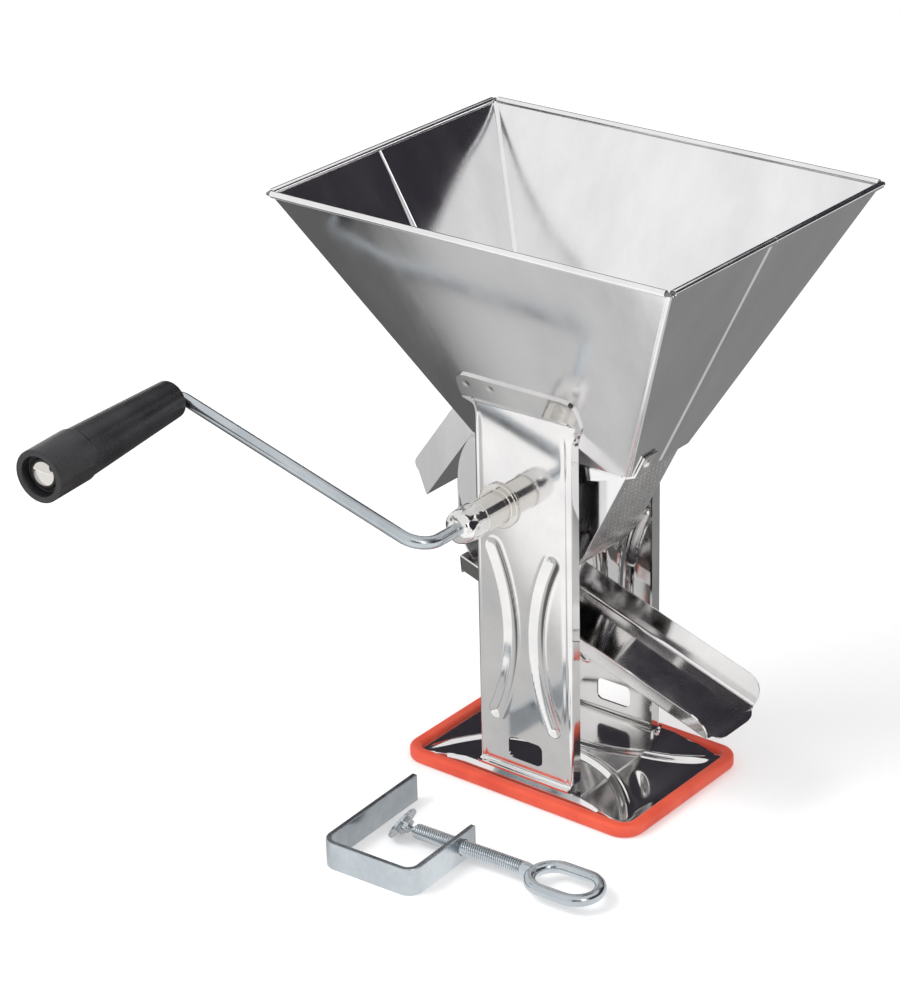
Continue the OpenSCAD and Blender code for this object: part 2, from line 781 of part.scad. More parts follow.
// Lugs of one panel's flanges that carry the chute
module chute_lugs() {
    slope = (chute_top - chute_floor) / 2 / chute_deep;
    for (sx = [-1, 1]) {
        mid_x = sx * (panel_wid - panel_t) / 2;
        edge_z = chute_z - (mid_x - chute_ref) * tan(chute_tilt);
        high = chute_deep / 2;
        reach = chute_top / 2 + play;
        translate([mid_x, 0, edge_z]) rotate([90, 0, 90]) linear_extrude(panel_t, center = true)
            polygon([[-panel_y + panel_t, 0], [-reach, 0], [-reach + slope * high, -high],
                [-panel_y + panel_t, -high]]);
    }
}

// Tube about the crank's axis, between two distances from the base's middle
module axle_ring(from, to, outer, bore) {
    translate([axis_x, -from, axis_z]) along_y() difference() {
        cylinder(h = to - from, d = outer);
        if (bore > 0) translate([0, 0, -cut]) cylinder(h = to - from + 2 * cut, d = bore);
    }
}

module bearing(end) {
    bore = shaft_d + 2 * fit;
    inner = (chamber_wid / 2 + chamber_t) + play;
    union() {
        axle_ring(inner, end, sleeve_d, bore);
        axle_ring(panel_y, panel_y + bearing_flange_t, bearing_flange_d, sleeve_d);
    }
}

module near_bearing_sleeve() {
    color("silver") bearing(sleeve_end);
}

module far_bearing_bush() {
    color("silver") mirror([0, 1, 0]) bearing(panel_y + bearing_flange_t);
}

module rotor_shaft() {
    color("silver") translate([axis_x, 0, axis_z]) difference() {
        translate([0, clip_start + 2 * clip_t, 0]) along_y()
            cylinder(h = shaft_near + clip_start + 2 * clip_t, d = shaft_d);
        translate([0, clip_start + clip_t, 0]) along_y() difference() {
            cylinder(h = clip_t, d = shaft_d + 2 * cut);
            translate([0, 0, -cut]) cylinder(h = clip_t + 2 * cut, d = clip_bore);
        }
    }
}

module shaft_clip() {
    color("dimgray") translate([axis_x, clip_start + clip_t, axis_z]) along_y() difference() {
        cylinder(h = clip_t, d = shaft_d * clip_share);
        translate([0, 0, -cut]) cylinder(h = clip_t + 2 * cut, d = clip_bore);
        translate([-clip_bore * clip_mouth_share / 2, 0, -cut])
            cube([clip_bore * clip_mouth_share, shaft_d, clip_t + 2 * cut]);
    }
}

module roller_core() {
    color("white") translate([axis_x, 0, axis_z]) difference() {
        translate([0, roller_wid / 2, 0]) along_y() cylinder(h = roller_wid, d = roller_d);
        translate([0, roller_wid / 2 + cut, 0]) along_y()
            cylinder(h = roller_wid + 2 * cut, d = shaft_d);
        for (i = [0:paddle_n - 1]) paddle_turn(i)
            translate([roller_d / 2 - paddle_seat, -roller_wid / 2 - cut, -paddle_t / 2])
                cube([paddle_seat + cut, roller_wid + 2 * cut, paddle_t]);
    }
}

// Turns a shape drawn along +X to the place of paddle i
module paddle_turn(i) {
    rotate([0, -crank_angle - (i + 0.5) * 360 / paddle_n, 0]) children();
}

module paddle(i) {
    root = roller_d / 2 - paddle_seat;
    if (i < paddle_n) color(steel) translate([axis_x, 0, axis_z]) paddle_turn(i) union() {
        translate([root, -roller_wid / 2, -paddle_t / 2])
            cube([paddle_reach - root - paddle_t / 2, roller_wid, paddle_t]);
        translate([paddle_reach - paddle_t / 2, roller_wid / 2, 0]) along_y()
            cylinder(h = roller_wid, d = paddle_t);
    }
}

module paddle_1() { paddle(0); }
module paddle_2() { paddle(1); }
module paddle_3() { paddle(2); }
module paddle_4() { paddle(3); }

module crank_hub() {
    taper = hub_len * hub_taper_share;
    tip_d = rod_d + 3 * chamber_t;
    color("silver") translate([axis_x, 0, axis_z]) difference() {
        union() {
            translate([0, -hub_start, 0]) along_y() cylinder(h = hub_len - taper, d = hub_d);
            translate([0, -hub_end + taper, 0]) along_y()
                cylinder(h = taper, d1 = hub_d, d2 = tip_d);
        }
        translate([0, -hub_start + cut, 0]) along_y()
            cylinder(h = shaft_near - hub_start + cut, d = shaft_d);
        translate([0, -hub_start, 0]) along_y() cylinder(h = hub_len + cut, d = rod_d);
    }
}

// The crank's frame: X along the arm, Y as the axis
module in_crank() {
    translate([axis_x, 0, axis_z]) rotate([0, -crank_angle, 0]) children();
}

// Frame at the corner between the arm and the grip: +Z runs out along the grip's axis
module at_grip() {
    in_crank() translate([crank_len, -crank_y, 0]) rotate([0, 0, -grip_turn])
        rotate([0, 90, 0]) children();
}

module crank_rod() {
    straight = crank_y - hub_bend - shaft_near;
    color(zinc) union() {
        in_crank() union() {
            translate([0, -shaft_near, 0]) along_y() cylinder(h = straight + weld, d = rod_d);
            translate([hub_bend, -crank_y + hub_bend, 0]) rotate([0, 0, 180])
                rotate_extrude(angle = 90) translate([hub_bend, 0]) circle(d = bend_d);
            translate([hub_bend - weld, -crank_y, 0]) rotate([0, 90, 0])
                cylinder(h = crank_len - grip_tangent - hub_bend + 2 * weld, d = rod_d);
            translate([crank_len - grip_tangent, -crank_y - grip_bend, 0])
                rotate([0, 0, 90 - grip_turn]) rotate_extrude(angle = grip_turn)
                    translate([grip_bend, 0]) circle(d = bend_d);
        }
        at_grip() translate([0, 0, grip_tangent - weld])
            cylinder(h = rod_end - grip_tangent + weld, d = rod_d);
    }
}

module grip_sleeve() {
    bore = rod_d / 2 + fit;
    edge = grip_edge;
    neck = grip_neck_d / 2;
    wide = grip_d / 2;
    step = (wide - neck) * grip_step_share;
    shoulder = grip_len - grip_end_len;
    color("#1c1c1e") at_grip() translate([0, 0, grip_start]) rotate_extrude()
        polygon([[bore, 0], [neck - edge, 0], [neck - edge / 3, edge / 3], [neck, edge],
            [wide - step, shoulder], [wide, shoulder + step], [wide, grip_len - edge],
            [wide - edge / 3, grip_len - edge / 3], [wide - edge, grip_len],
            [grip_cup_d / 2, grip_len], [grip_cup_d / 2, grip_len - grip_cup],
            [bore, grip_len - grip_cup]]);
}

module grip_dome() {
    high = dome_d * dome_share;
    ball = (dome_d * dome_d / 4 + high * high) / (2 * high);
    seat = grip_start + grip_len - grip_cup + play;
    color("silver") at_grip() difference() {
        translate([0, 0, seat]) intersection() {
            translate([0, 0, high - ball]) sphere(ball);
            cylinder(h = high + cut, d = dome_d + cut);
        }
        translate([0, 0, seat - cut]) cylinder(h = rod_end - seat + cut, d = rod_d);
    }
}

// The clamp's frame: X along its back, Y along its arms, on the table
module in_clamp() {
    translate([-clamp_x, -clamp_y, 0]) rotate([0, 0, clamp_yaw]) children();
}

module clamp_frame() {
    color(zinc) in_clamp() difference() {
        linear_extrude(strap_wid) union() {
            translate([clamp_corner, 0]) square([clamp_back - 2 * clamp_corner, strap_t]);
            translate([0, clamp_corner]) square([strap_t, long_arm - clamp_corner]);
            translate([clamp_back - strap_t, clamp_corner])
                square([strap_t, short_arm - clamp_corner]);
            for (x = [clamp_corner, clamp_back - clamp_corner]) translate([x, clamp_corner])
                intersection() {
                    difference() {
                        circle(clamp_corner);
                        circle(clamp_corner - strap_t);
                    }
                    translate([x > clamp_corner ? 0 : -clamp_corner, -clamp_corner])
                        square(clamp_corner);
                }
        }
        translate([clamp_back - strap_t - cut, screw_y, screw_z]) rotate([0, 90, 0])
            cylinder(h = strap_t + 2 * cut, d = screw_d + 2 * fit);
    }
}

module clamp_screw() {
    mid = eye_wid / 2 - eye_rod / 2;
    run = eye_len - eye_wid;
    eye_x = ball_x + shank_len;
    color(zinc) in_clamp() translate([0, screw_y, screw_z]) difference() {
        union() {
            translate([shank_start, 0, 0]) rotate([0, 90, 0])
                cylinder(h = eye_x - shank_start + eye_rod / 2, d = screw_d);
            // Eye: two round ends joined by straight rods
            translate([eye_x + eye_wid / 2, 0, 0]) union() {
                rotate([0, 0, 90]) rotate_extrude(angle = 180) translate([mid, 0])
                    circle(d = eye_rod);
                translate([run, 0, 0]) rotate([0, 0, -90]) rotate_extrude(angle = 180)
                    translate([mid, 0]) circle(d = eye_rod);
                for (sy = [-1, 1]) translate([0, sy * mid, 0]) rotate([0, 90, 0])
                    cylinder(h = run, d = eye_rod);
            }
        }
        translate([shank_start - cut, 0, 0]) rotate([0, 90, 0])
            cylinder(h = stem_len - ball_d + cut + play, d = stem_d + 2 * fit);
    }
}

module screw_ball() {
    color(zinc) in_clamp() translate([ball_x, screw_y, screw_z]) rotate([0, 90, 0]) union() {
        sphere(d = ball_d);
        cylinder(h = stem_len, d = stem_d);
    }
}

module pressure_pad() {
    gap = play / 2;
    boss_d = ball_d * pad_boss_share;
    mouth = ball_d / 6;
    face = ball_d / 3;
    color(zinc) in_clamp() translate([ball_x, screw_y, screw_z]) rotate([0, pad_tilt - 90, 0])
        difference() {
            union() {
                translate([0, 0, face]) cylinder(h = pad_t, d = pad_d);
                translate([0, 0, -mouth]) cylinder(h = mouth + face, d = boss_d);
            }
            sphere(d = ball_d + 2 * gap);
        }
}

rubber_rim();
base_plate();
near_side_panel();
far_side_panel();
hopper_near_half();
hopper_far_half();
rim_wire();
near_press_cheek();
far_press_cheek();
sieve_plate();
sieve_rivet();
rear_casing();
splash_back();
waste_slide();
juice_chute();
near_bearing_sleeve();
far_bearing_bush();
rotor_shaft();
shaft_clip();
roller_core();
paddle_1();
paddle_2();
paddle_3();
paddle_4();
crank_hub();
crank_rod();
grip_sleeve();
grip_dome();
clamp_frame();
clamp_screw();
screw_ball();
pressure_pad();
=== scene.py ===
# %% [markdown]
# # A hand-cranked tomato strainer
#
# The strainer is bent up from bright stainless sheet: a square funnel, two side panels, a press
# chamber with a perforated sieve and a chute for the juice. It stands on a sheet base with a red
# rubber rim, and its table clamp lies beside it. The frame gives the construction in real size.
# This script adds the looks: rounded bends, pressed beads, threads and finishes.

import math

import bmesh
import bpy
from mathutils import Matrix, Vector, noise


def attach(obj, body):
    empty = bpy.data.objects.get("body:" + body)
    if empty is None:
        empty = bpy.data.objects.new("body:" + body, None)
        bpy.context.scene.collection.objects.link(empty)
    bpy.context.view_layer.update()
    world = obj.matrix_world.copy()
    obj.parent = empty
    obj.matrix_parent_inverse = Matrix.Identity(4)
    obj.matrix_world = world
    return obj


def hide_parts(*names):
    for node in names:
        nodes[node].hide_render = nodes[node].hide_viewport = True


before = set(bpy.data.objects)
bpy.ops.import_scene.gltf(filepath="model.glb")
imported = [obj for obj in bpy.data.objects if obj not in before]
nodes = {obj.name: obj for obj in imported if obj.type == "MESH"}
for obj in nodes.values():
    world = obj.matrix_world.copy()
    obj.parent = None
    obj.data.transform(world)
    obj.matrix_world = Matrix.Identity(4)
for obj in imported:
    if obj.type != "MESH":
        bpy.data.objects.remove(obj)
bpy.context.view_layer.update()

# %% [markdown]
# ## Units and small helpers
#
# The maker's drawings are in millimetres and Blender counts in metres, so every piece is drawn in
# millimetres and scaled once, when its mesh is made. Sharp edges are marked by angle, so that a
# bend shades smoothly and a cut edge stays crisp.

# %% Making an object from drawn faces
MM = 0.001


def made(name, bm, sharp=38):
    """Object in metres from a drawing in millimetres."""
    bmesh.ops.recalc_face_normals(bm, faces=bm.faces)
    bmesh.ops.scale(bm, vec=(MM, MM, MM), verts=bm.verts)
    mesh = bpy.data.meshes.new(name)
    bm.to_mesh(mesh)
    bm.free()
    mesh.shade_smooth()
    mesh.set_sharp_from_angle(angle=math.radians(sharp))
    obj = bpy.data.objects.new(name, mesh)
    bpy.context.scene.collection.objects.link(obj)
    return obj


def worn_edges(obj, width, segments=2, angle=40):
    """Rounds the edges that are sharper than an angle, as deburring does."""
    bevel = obj.modifiers.new("worn edges", "BEVEL")
    bevel.width = width * MM
    bevel.segments = segments
    bevel.limit_method = "ANGLE"
    bevel.angle_limit = math.radians(angle)
    bevel.harden_normals = True
    return obj


def fitted(obj, finish, body, *replaced):
    """Gives a piece its finish, hangs it on its body and lets it stand for CAD nodes."""
    obj.data.materials.clear()
    obj.data.materials.append(finish)
    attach(obj, body)
    if replaced:
        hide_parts(*replaced)
    size = [round(1000 * d, 1) for d in obj.dimensions]
    print(obj.name, "on", body, "measures", size, "mm")
    return obj


# %% [markdown]
# ## A CAD piece with broken edges
#
# Plain pieces could be shown as they come from the frame, but an edge with no radius catches no
# light. So their triangles are joined into whole faces, and then a bevel modifier rounds the edges
# that are left. Points closer than SAME_SPOT mm are one point, and faces that turn less than
# SAME_PLANE degrees are one face.

# %% Broken edges on a plain piece
SAME_SPOT = 0.002
SAME_PLANE = 0.6


def softened(node, name, edge=0.3, segments=2, sharp=35):
    """Copy of a CAD node with whole faces and broken edges."""
    bm = bmesh.new()
    bm.from_mesh(nodes[node].data)
    bmesh.ops.remove_doubles(bm, verts=bm.verts, dist=SAME_SPOT * MM)
    bmesh.ops.dissolve_limit(bm, angle_limit=math.radians(SAME_PLANE), verts=bm.verts, edges=bm.edges)
    bmesh.ops.scale(bm, vec=(1 / MM, 1 / MM, 1 / MM), verts=bm.verts)
    return worn_edges(made(name, bm, sharp), edge, segments, sharp)


# %% [markdown]
# ## Sheet that is cut flat and then bent
#
# A press shop cuts a flat blank and then folds it, and the script does the same. Holes could be cut
# with booleans after the bending, but these leave long thin faces that show in a mirror finish.
# Here the blank is a grid. Where an outline or a hole passes close to a grid point, within
# NEAR_SHARE of a cell, the point is moved onto it, and what lies outside is dropped. Then every
# point goes to its place on the bent piece, and the sheet gets its thickness.

# %% Moving a grid point onto an edge
NEAR_SHARE = 0.52
SEARCHES = 5
TOO_FLAT = 1e-6


def onto_edge(cut, spot, free):
    """Moves a point of the blank onto the cut's edge, along the directions that are free."""
    step = 0.01
    for search in range(SEARCHES):
        off = cut(spot[0], spot[1])
        slope = [0, 0]
        for k in (0, 1):
            ahead = [spot[0], spot[1]]
            ahead[k] += step
            slope[k] = free[k] * (cut(ahead[0], ahead[1]) - off) / step
        steep = slope[0] ** 2 + slope[1] ** 2
        if steep < TOO_FLAT:
            break
        spot = [spot[k] - off * slope[k] / steep for k in (0, 1)]
    return spot


def split_cell(cell, side):
    """Faces of one cell of the blank that lie on the sheet; side says +1 in, 0 on the edge, -1 out."""
    signs = [side[c] for c in cell]
    if max(signs) <= 0:
        return []
    if min(signs) >= 0:
        return [cell]
    return [(cell[k - 1], cell[k], cell[(k + 1) % 4]) for k in range(4) if signs[k] > 0]


# %% Blank, bend and thickness
def bent_sheet(us, vs, place, thick, cut=None, keep=None):
    """Sheet over the grid us by vs: place(u, v) is a point of its face, and thick goes behind it.

    cut(u, v) is the distance inside the outline, and keep(u, v) says which cells stay.
    """
    reach = NEAR_SHARE * max(us[1] - us[0], vs[1] - vs[0])
    step = 0.02
    bm = bmesh.new()
    spots = []
    side = []
    for i, u in enumerate(us):
        for j, v in enumerate(vs):
            spot = [u, v]
            off = cut(u, v) if cut else 1
            if cut and abs(off) < reach:
                free = (0 < i < len(us) - 1, 0 < j < len(vs) - 1)
                spot = onto_edge(cut, spot, free)
                off = 0
            spots.append(spot)
            side.append((off > 0) - (off < 0))
    faces = []
    for i in range(len(us) - 1):
        for j in range(len(vs) - 1):
            if keep and not keep(us[i] / 2 + us[i + 1] / 2, vs[j] / 2 + vs[j + 1] / 2):
                continue
            a = i * len(vs) + j
            faces += split_cell((a, a + len(vs), a + len(vs) + 1, a + 1), side)
    used = sorted({c for face in faces for c in face})
    front = {}
    back = {}
    for c in used:
        u, v = spots[c]
        here = place(u, v)
        way_u = place(u + step, v) - place(u - step, v)
        way_v = place(u, v + step) - place(u, v - step)
        normal = way_u.cross(way_v).normalized()
        front[c] = bm.verts.new(here)
        back[c] = bm.verts.new(here - normal * thick)
    edges = {}
    for face in faces:
        bm.faces.new([front[c] for c in face])
        bm.faces.new([back[c] for c in reversed(face)])
        for k, c in enumerate(face):
            edges.setdefault(frozenset((face[k - 1], c)), []).append((face[k - 1], c))
    for uses in edges.values():
        if len(uses) == 1:
            a, b = uses[0]
            bm.faces.new((front[b], front[a], back[a], back[b]))
    return bm


def spread(low, high, step):
    """Evenly spaced values from low to high, close to a step apart."""
    count = max(1, round((high - low) / step))
    return [low + (high - low) * k / count for k in range(count + 1)]


# %% [markdown]
# ## Profiles with bend radii
#
# A folded profile is drawn as a few corner points and one bend radius. Each corner becomes an arc,
# and a point of the profile is then found by its distance along it.

# %% Folded profile
def folded(corners, radius, flats=6):
    """Points of an open profile whose inner corners are rounded to a radius."""
    out = [Vector(corners[0])]
    for before, here, after in zip(corners, corners[1:], corners[2:]):
        here = Vector(here)
        back = (Vector(before) - here).normalized()
        on = (Vector(after) - here).normalized()
        half = back.angle(on) / 2
        centre = here + (back + on).normalized() * radius / math.sin(half)
        start = here + back * radius / math.tan(half) - centre
        end = here + on * radius / math.tan(half) - centre
        turn = start.angle(end)
        for k in range(flats + 1):
            share = k / flats
            arm = start * math.sin((1 - share) * turn) + end * math.sin(share * turn)
            out.append(centre + arm / math.sin(turn))
    out.append(Vector(corners[-1]))
    return out


def lengths(points):
    """Distance along a profile at each of its points."""
    out = [0]
    for a, b in zip(points, points[1:]):
        out.append(out[-1] + (b - a).length)
    return out


def along(points, marks, s):
    """Point at a distance s along a profile, and straight on past its ends."""
    k = 0
    while k < len(points) - 2 and s > marks[k + 1]:
        k += 1
    return points[k].lerp(points[k + 1], (s - marks[k]) / (marks[k + 1] - marks[k]))


square_bend = folded([(-10, 0), (0, 0), (0, 10)], 2)
bend_length = round(lengths(square_bend)[-1], 2)
print("a strip bent square, 10 mm each way with a 2 mm radius, is", bend_length, "mm long")

# %% [markdown]
# ## Turned pieces and drawn rods
#
# Hubs and grips are turned, so they are a profile spun round an axis. Rods, hems and the rubber rim
# keep one section along a path. A screw or a curve object could do each, but rings of points
# joined by faces do both, and a ring can also carry the dents of a crimp or a thread.

# %% Turning and sweeping
def ringed(rings, loop=False, caps=True):
    """Faces through rings that all have the same number of points."""
    bm = bmesh.new()
    rows = [[bm.verts.new(p) for p in ring] for ring in rings]
    size = len(rows[0])
    pairs = list(zip(rows, rows[1:]))
    if loop:
        pairs.append((rows[-1], rows[0]))
    for low_row, high_row in pairs:
        for k in range(size):
            bm.faces.new((low_row[k - 1], low_row[k], high_row[k], high_row[k - 1]))
    if caps and not loop:
        bm.faces.new(rows[0])
        bm.faces.new(list(reversed(rows[-1])))
    return bm


def turned(profile, place, turns=72, ripple=None, loop=False):
    """Profile of (radius, length) pairs spun round the axis of place."""
    rings = []
    for radius, length in profile:
        ring = []
        for k in range(turns):
            angle = 2 * math.pi * k / turns
            reach = radius + (ripple(angle, length) if ripple else 0)
            ring.append(place @ Vector((reach * math.cos(angle), reach * math.sin(angle), length)))
        rings.append(ring)
    return ringed(rings, loop)


def swept(path, section, up=None, loop=False):
    """Section of (across, up) pairs carried along a path; section(k) is the one at point k."""
    rings = []
    side = None
    count = len(path)
    for k, spot in enumerate(path):
        ahead = path[(k + 1) % count] if loop or k < count - 1 else spot
        behind = path[k - 1] if loop or k > 0 else spot
        way = (ahead - behind).normalized()
        if up is not None:
            side = way.cross(up).normalized()
        elif side is None:
            side = way.orthogonal().normalized()
        else:
            side = (side - way * side.dot(way)).normalized()
        rise = side.cross(way)
        rings.append([spot + side * a + rise * b for a, b in section(k)])
    return ringed(rings, loop)


def circle(radius, count=24):
    """Round section."""
    turn = 2 * math.pi / count
    return [(radius * math.cos(k * turn), radius * math.sin(k * turn)) for k in range(count)]


def joined(*parts):
    """One set of faces from several."""
    whole = bmesh.new()
    for part in parts:
        mesh = bpy.data.meshes.new("part")
        part.to_mesh(mesh)
        part.free()
        whole.from_mesh(mesh)
        bpy.data.meshes.remove(mesh)
    return whole


# %% [markdown]
# ## Finishes
#
# Bright sheet is never a perfect mirror. Rolling leaves a fine grain along the sheet, forming
# leaves slow waves, and handling leaves faint cloudy smears. Each is one noise texture: the grain
# and the waves tilt the surface through bump, and the smears change the roughness a little.

# %% Node helpers and metal
def add(tree, kind, inputs=None, **settings):
    """New shader node; an input is a value or another node's output."""
    node = tree.nodes.new("ShaderNode" + kind)
    for key, value in settings.items():
        setattr(node, key, value)
    for key, value in (inputs or {}).items():
        if isinstance(value, bpy.types.NodeSocket):
            tree.links.new(value, node.inputs[key])
        else:
            node.inputs[key].default_value = value
    return node


def started(name):
    """New material with its node tree, its shader and its place in metres."""
    material = bpy.data.materials.new(name + " finish")
    material["slot"] = name.split("-")[0]
    material.use_nodes = True
    tree = material.node_tree
    return material, tree, tree.nodes["Principled BSDF"], add(tree, "TexCoord").outputs["Object"]


def spanned(tree, source, low, high, start=0.35, end=0.65):
    """Noise value brought to a range."""
    inputs = {"Value": source, "From Min": start, "From Max": end, "To Min": low, "To Max": high}
    return add(tree, "MapRange", inputs).outputs[0]


def tinted(tree, source, dark, light):
    """Colour between two, by a noise value. A mix node has its colours at sockets 6 and 7."""
    inputs = {0: spanned(tree, source, 0, 1), 6: (*dark, 1), 7: (*light, 1)}
    return add(tree, "Mix", inputs, data_type="RGBA").outputs[2]


SMEARS_PER_METRE = 28
CLOUDS_PER_METRE = 45
SMEAR_HAZE = (0.75, 1.3)
SKIN_HAZE = (0.8, 1.2)


def metal(name, dark, light, rough, grain, wave, stretch=(1, 1, 1), grain_size=0.6, wave_size=70):
    """Metal with a fine grain, slow waves (both as heights in mm) and cloudy smears."""
    material, tree, shader, spot = started(name)
    lay = add(tree, "Mapping", {"Vector": spot, "Scale": stretch}).outputs[0]
    fine = add(tree, "TexNoise", {"Vector": lay, "Scale": 1 / (grain_size * MM), "Detail": 2})
    slow = add(tree, "TexNoise", {"Vector": spot, "Scale": 1 / (wave_size * MM), "Detail": 1})
    inputs = {"Vector": lay, "Scale": SMEARS_PER_METRE, "Detail": 5, "Roughness": 0.62}
    smear = add(tree, "TexNoise", inputs)
    shader.inputs["Metallic"].default_value = 1
    tree.links.new(tinted(tree, smear.outputs[0], dark, light), shader.inputs["Base Color"])
    hazy = spanned(tree, smear.outputs[0], rough * SMEAR_HAZE[0], rough * SMEAR_HAZE[1])
    tree.links.new(hazy, shader.inputs["Roughness"])
    waves = add(tree, "Bump", {"Height": slow.outputs[0], "Distance": wave * MM})
    inputs = {"Height": fine.outputs[0], "Distance": grain * MM, "Normal": waves.outputs[0]}
    tree.links.new(add(tree, "Bump", inputs).outputs[0], shader.inputs["Normal"])
    return material


steel = metal("polished_steel", (0.76, 0.76, 0.77), (0.86, 0.85, 0.85), 0.12, 0.005, 0.42, (1, 1, 0.2))
sheen = metal("polished_steel-fine", (0.74, 0.73, 0.73), (0.84, 0.83, 0.82), 0.09, 0.004, 0.5)
pierced = metal("polished_steel-pierced", (0.80, 0.79, 0.78), (0.90, 0.89, 0.88), 0.24, 0.02, 0.3)
nickel = metal("nickel", (0.66, 0.64, 0.61), (0.76, 0.74, 0.71), 0.12, 0.008, 0.2)
crumpled = metal("nickel-hub", (0.62, 0.61, 0.60), (0.82, 0.81, 0.80), 0.08, 0.01, 1.1, wave_size=9)
wire = metal("wire", (0.16, 0.16, 0.17), (0.30, 0.30, 0.31), 0.35, 0.02, 0.1)
zinc = metal("zinc", (0.42, 0.46, 0.49), (0.56, 0.60, 0.63), 0.19, 0.012, 0.15)
print("metals:", [m.name for m in (steel, sheen, pierced, nickel, crumpled, wire, zinc)])

# %% [markdown]
# ## Rubber and plastics
#
# These don't mirror the room, so their character is in the surface: moulded rubber has a fine
# skin, nylon is milky, and the grip's black plastic has a satin mould grain. A plain colour would
# look like paint, so faint clouds vary it, and a fine noise varies the gloss and tilts the skin.


# %% Rubber, nylon and black plastic
def moulded(name, dark, light, rough, grain, grain_size=0.5, milky=0.0):
    """Moulded material with a fine skin and faint clouds."""
    material, tree, shader, spot = started(name)
    fine = add(tree, "TexNoise", {"Vector": spot, "Scale": 1 / (grain_size * MM), "Detail": 3})
    cloud = add(tree, "TexNoise", {"Vector": spot, "Scale": CLOUDS_PER_METRE, "Detail": 4})
    tree.links.new(tinted(tree, cloud.outputs[0], dark, light), shader.inputs["Base Color"])
    hazy = spanned(tree, fine.outputs[0], rough * SKIN_HAZE[0], rough * SKIN_HAZE[1])
    tree.links.new(hazy, shader.inputs["Roughness"])
    skin = add(tree, "Bump", {"Height": fine.outputs[0], "Distance": grain * MM})
    tree.links.new(skin.outputs[0], shader.inputs["Normal"])
    shader.inputs["Subsurface Weight"].default_value = milky
    shader.inputs["Subsurface Scale"].default_value = MM
    return material


rubber = moulded("red_rubber", (0.78, 0.075, 0.035), (0.90, 0.12, 0.06), 0.42, 0.03)
nylon = moulded("nylon", (0.80, 0.79, 0.74), (0.88, 0.87, 0.83), 0.45, 0.02, milky=0.3)
black = moulded("black_plastic", (0.010, 0.010, 0.012), (0.022, 0.022, 0.025), 0.30, 0.012)
print("moulded:", [m.name for m in (rubber, nylon, black)])

# %% [markdown]
# ## The hopper
#
# The funnel is two folded sheets, lapped down the middle of both end walls. Four flat plates could
# be set at angles, but then the bends and the lap would be missing. So each half is one blank with
# two bends, and its columns run round the half: the lap, the end wall, a bend, the long wall, a
# bend and the other end. The near half lies outside the far one in the lap, over a small joggle.

# %% Sizes of the hopper
RIM_LEN = 240
RIM_WID = 183.5
RIM_Z = 315.6
RIM_SHIFT = 6.8
THROAT_Z = 187
THROAT_WID = 53
THROAT_REAR = 41.5
THROAT_FRONT = 55.5
WINDOW_Z = 202
SHEET_T = 0.8
HEM_D = 3.6
HEM_GAP = 2.2
WIRE_D = 2
LAP = 6
JOGGLE = 3
SEAM_Y = 0.8
SEAM_STRIP = 12
FOLD_R = 2.6
hem_z = RIM_Z - HEM_D / 2
hem_x = RIM_LEN / 2 - HEM_D / 2
hem_y = {-1: RIM_SHIFT - RIM_WID / 2 + HEM_D / 2, 1: RIM_SHIFT + RIM_WID / 2 - HEM_D / 2}
wall_high = hem_z - THROAT_Z
run_rear = (hem_x - THROAT_REAR) / wall_high
run_front = (hem_x - THROAT_FRONT) / wall_high
run_side = {s: (s * hem_y[s] - THROAT_WID / 2) / wall_high for s in (-1, 1)}
print("runs per unit of height:", round(run_rear, 3), round(run_front, 3), run_side)


# %% One half of the hopper
def hopper_point(u, z, side):
    """Point of a half's outer face: u counts its stretches from the front lap to the rear one.

    0 and 6 are the strips at the laps, 1 and 5 the end walls, 2 and 4 the bends, 3 the long wall.
    """
    rise = z - THROAT_Z
    front = THROAT_FRONT + run_front * rise
    rear = -THROAT_REAR - run_rear * rise
    wall = THROAT_WID / 2 + run_side[side] * rise
    lap_end = side * SEAM_Y - (LAP if side < 0 else 0)
    inner = lap_end + SEAM_STRIP
    turn = wall - FOLD_R
    k = min(6, max(0, math.floor(u)))
    part = u - k
    if k in (0, 6):
        across = lap_end + SEAM_STRIP * (part if k == 0 else 1 - part)
    elif k in (1, 5):
        across = inner + (turn - inner) * (part if k == 1 else 1 - part)
    if k in (0, 1, 5, 6):
        climb = 0
        if side < 0:
            climb = SHEET_T * min(1, max(0, (lap_end + LAP + JOGGLE - across) / JOGGLE))
        x = front + climb * math.hypot(1, run_front)
        if k > 3:
            x = rear - climb * math.hypot(1, run_rear)
        return Vector((x, side * across, z))
    if k == 3:
        return Vector((front - FOLD_R + (rear - front + 2 * FOLD_R) * part, side * wall, z))
    angle = math.radians(90 * part) if k == 2 else math.radians(90 + 90 * part)
    middle = front - FOLD_R if k == 2 else rear + FOLD_R
    return Vector((middle + FOLD_R * math.cos(angle), side * (turn + FOLD_R * math.sin(angle)), z))


# %% The rolled hem
HEM_START = -40
HEM_ROLL = 330
HEM_STEPS = 22


def hem_section():
    """Sheet rolled round the wire, open where its end comes back to the wall."""
    angles = [math.radians(HEM_START + HEM_ROLL * k / HEM_STEPS) for k in range(HEM_STEPS + 1)]
    outer = [(HEM_D / 2 * math.cos(a), HEM_D / 2 * math.sin(a)) for a in angles]
    inner_r = HEM_D / 2 - SHEET_T
    inner = [(inner_r * math.cos(a), inner_r * math.sin(a)) for a in reversed(angles)]
    return outer + inner


def hem(start, end):
    """Straight run of the rolled hem."""
    start, end = Vector(start), Vector(end)
    return swept([start, start.lerp(end, 0.5), end], lambda k: hem_section(), Vector((0, 0, 1)))


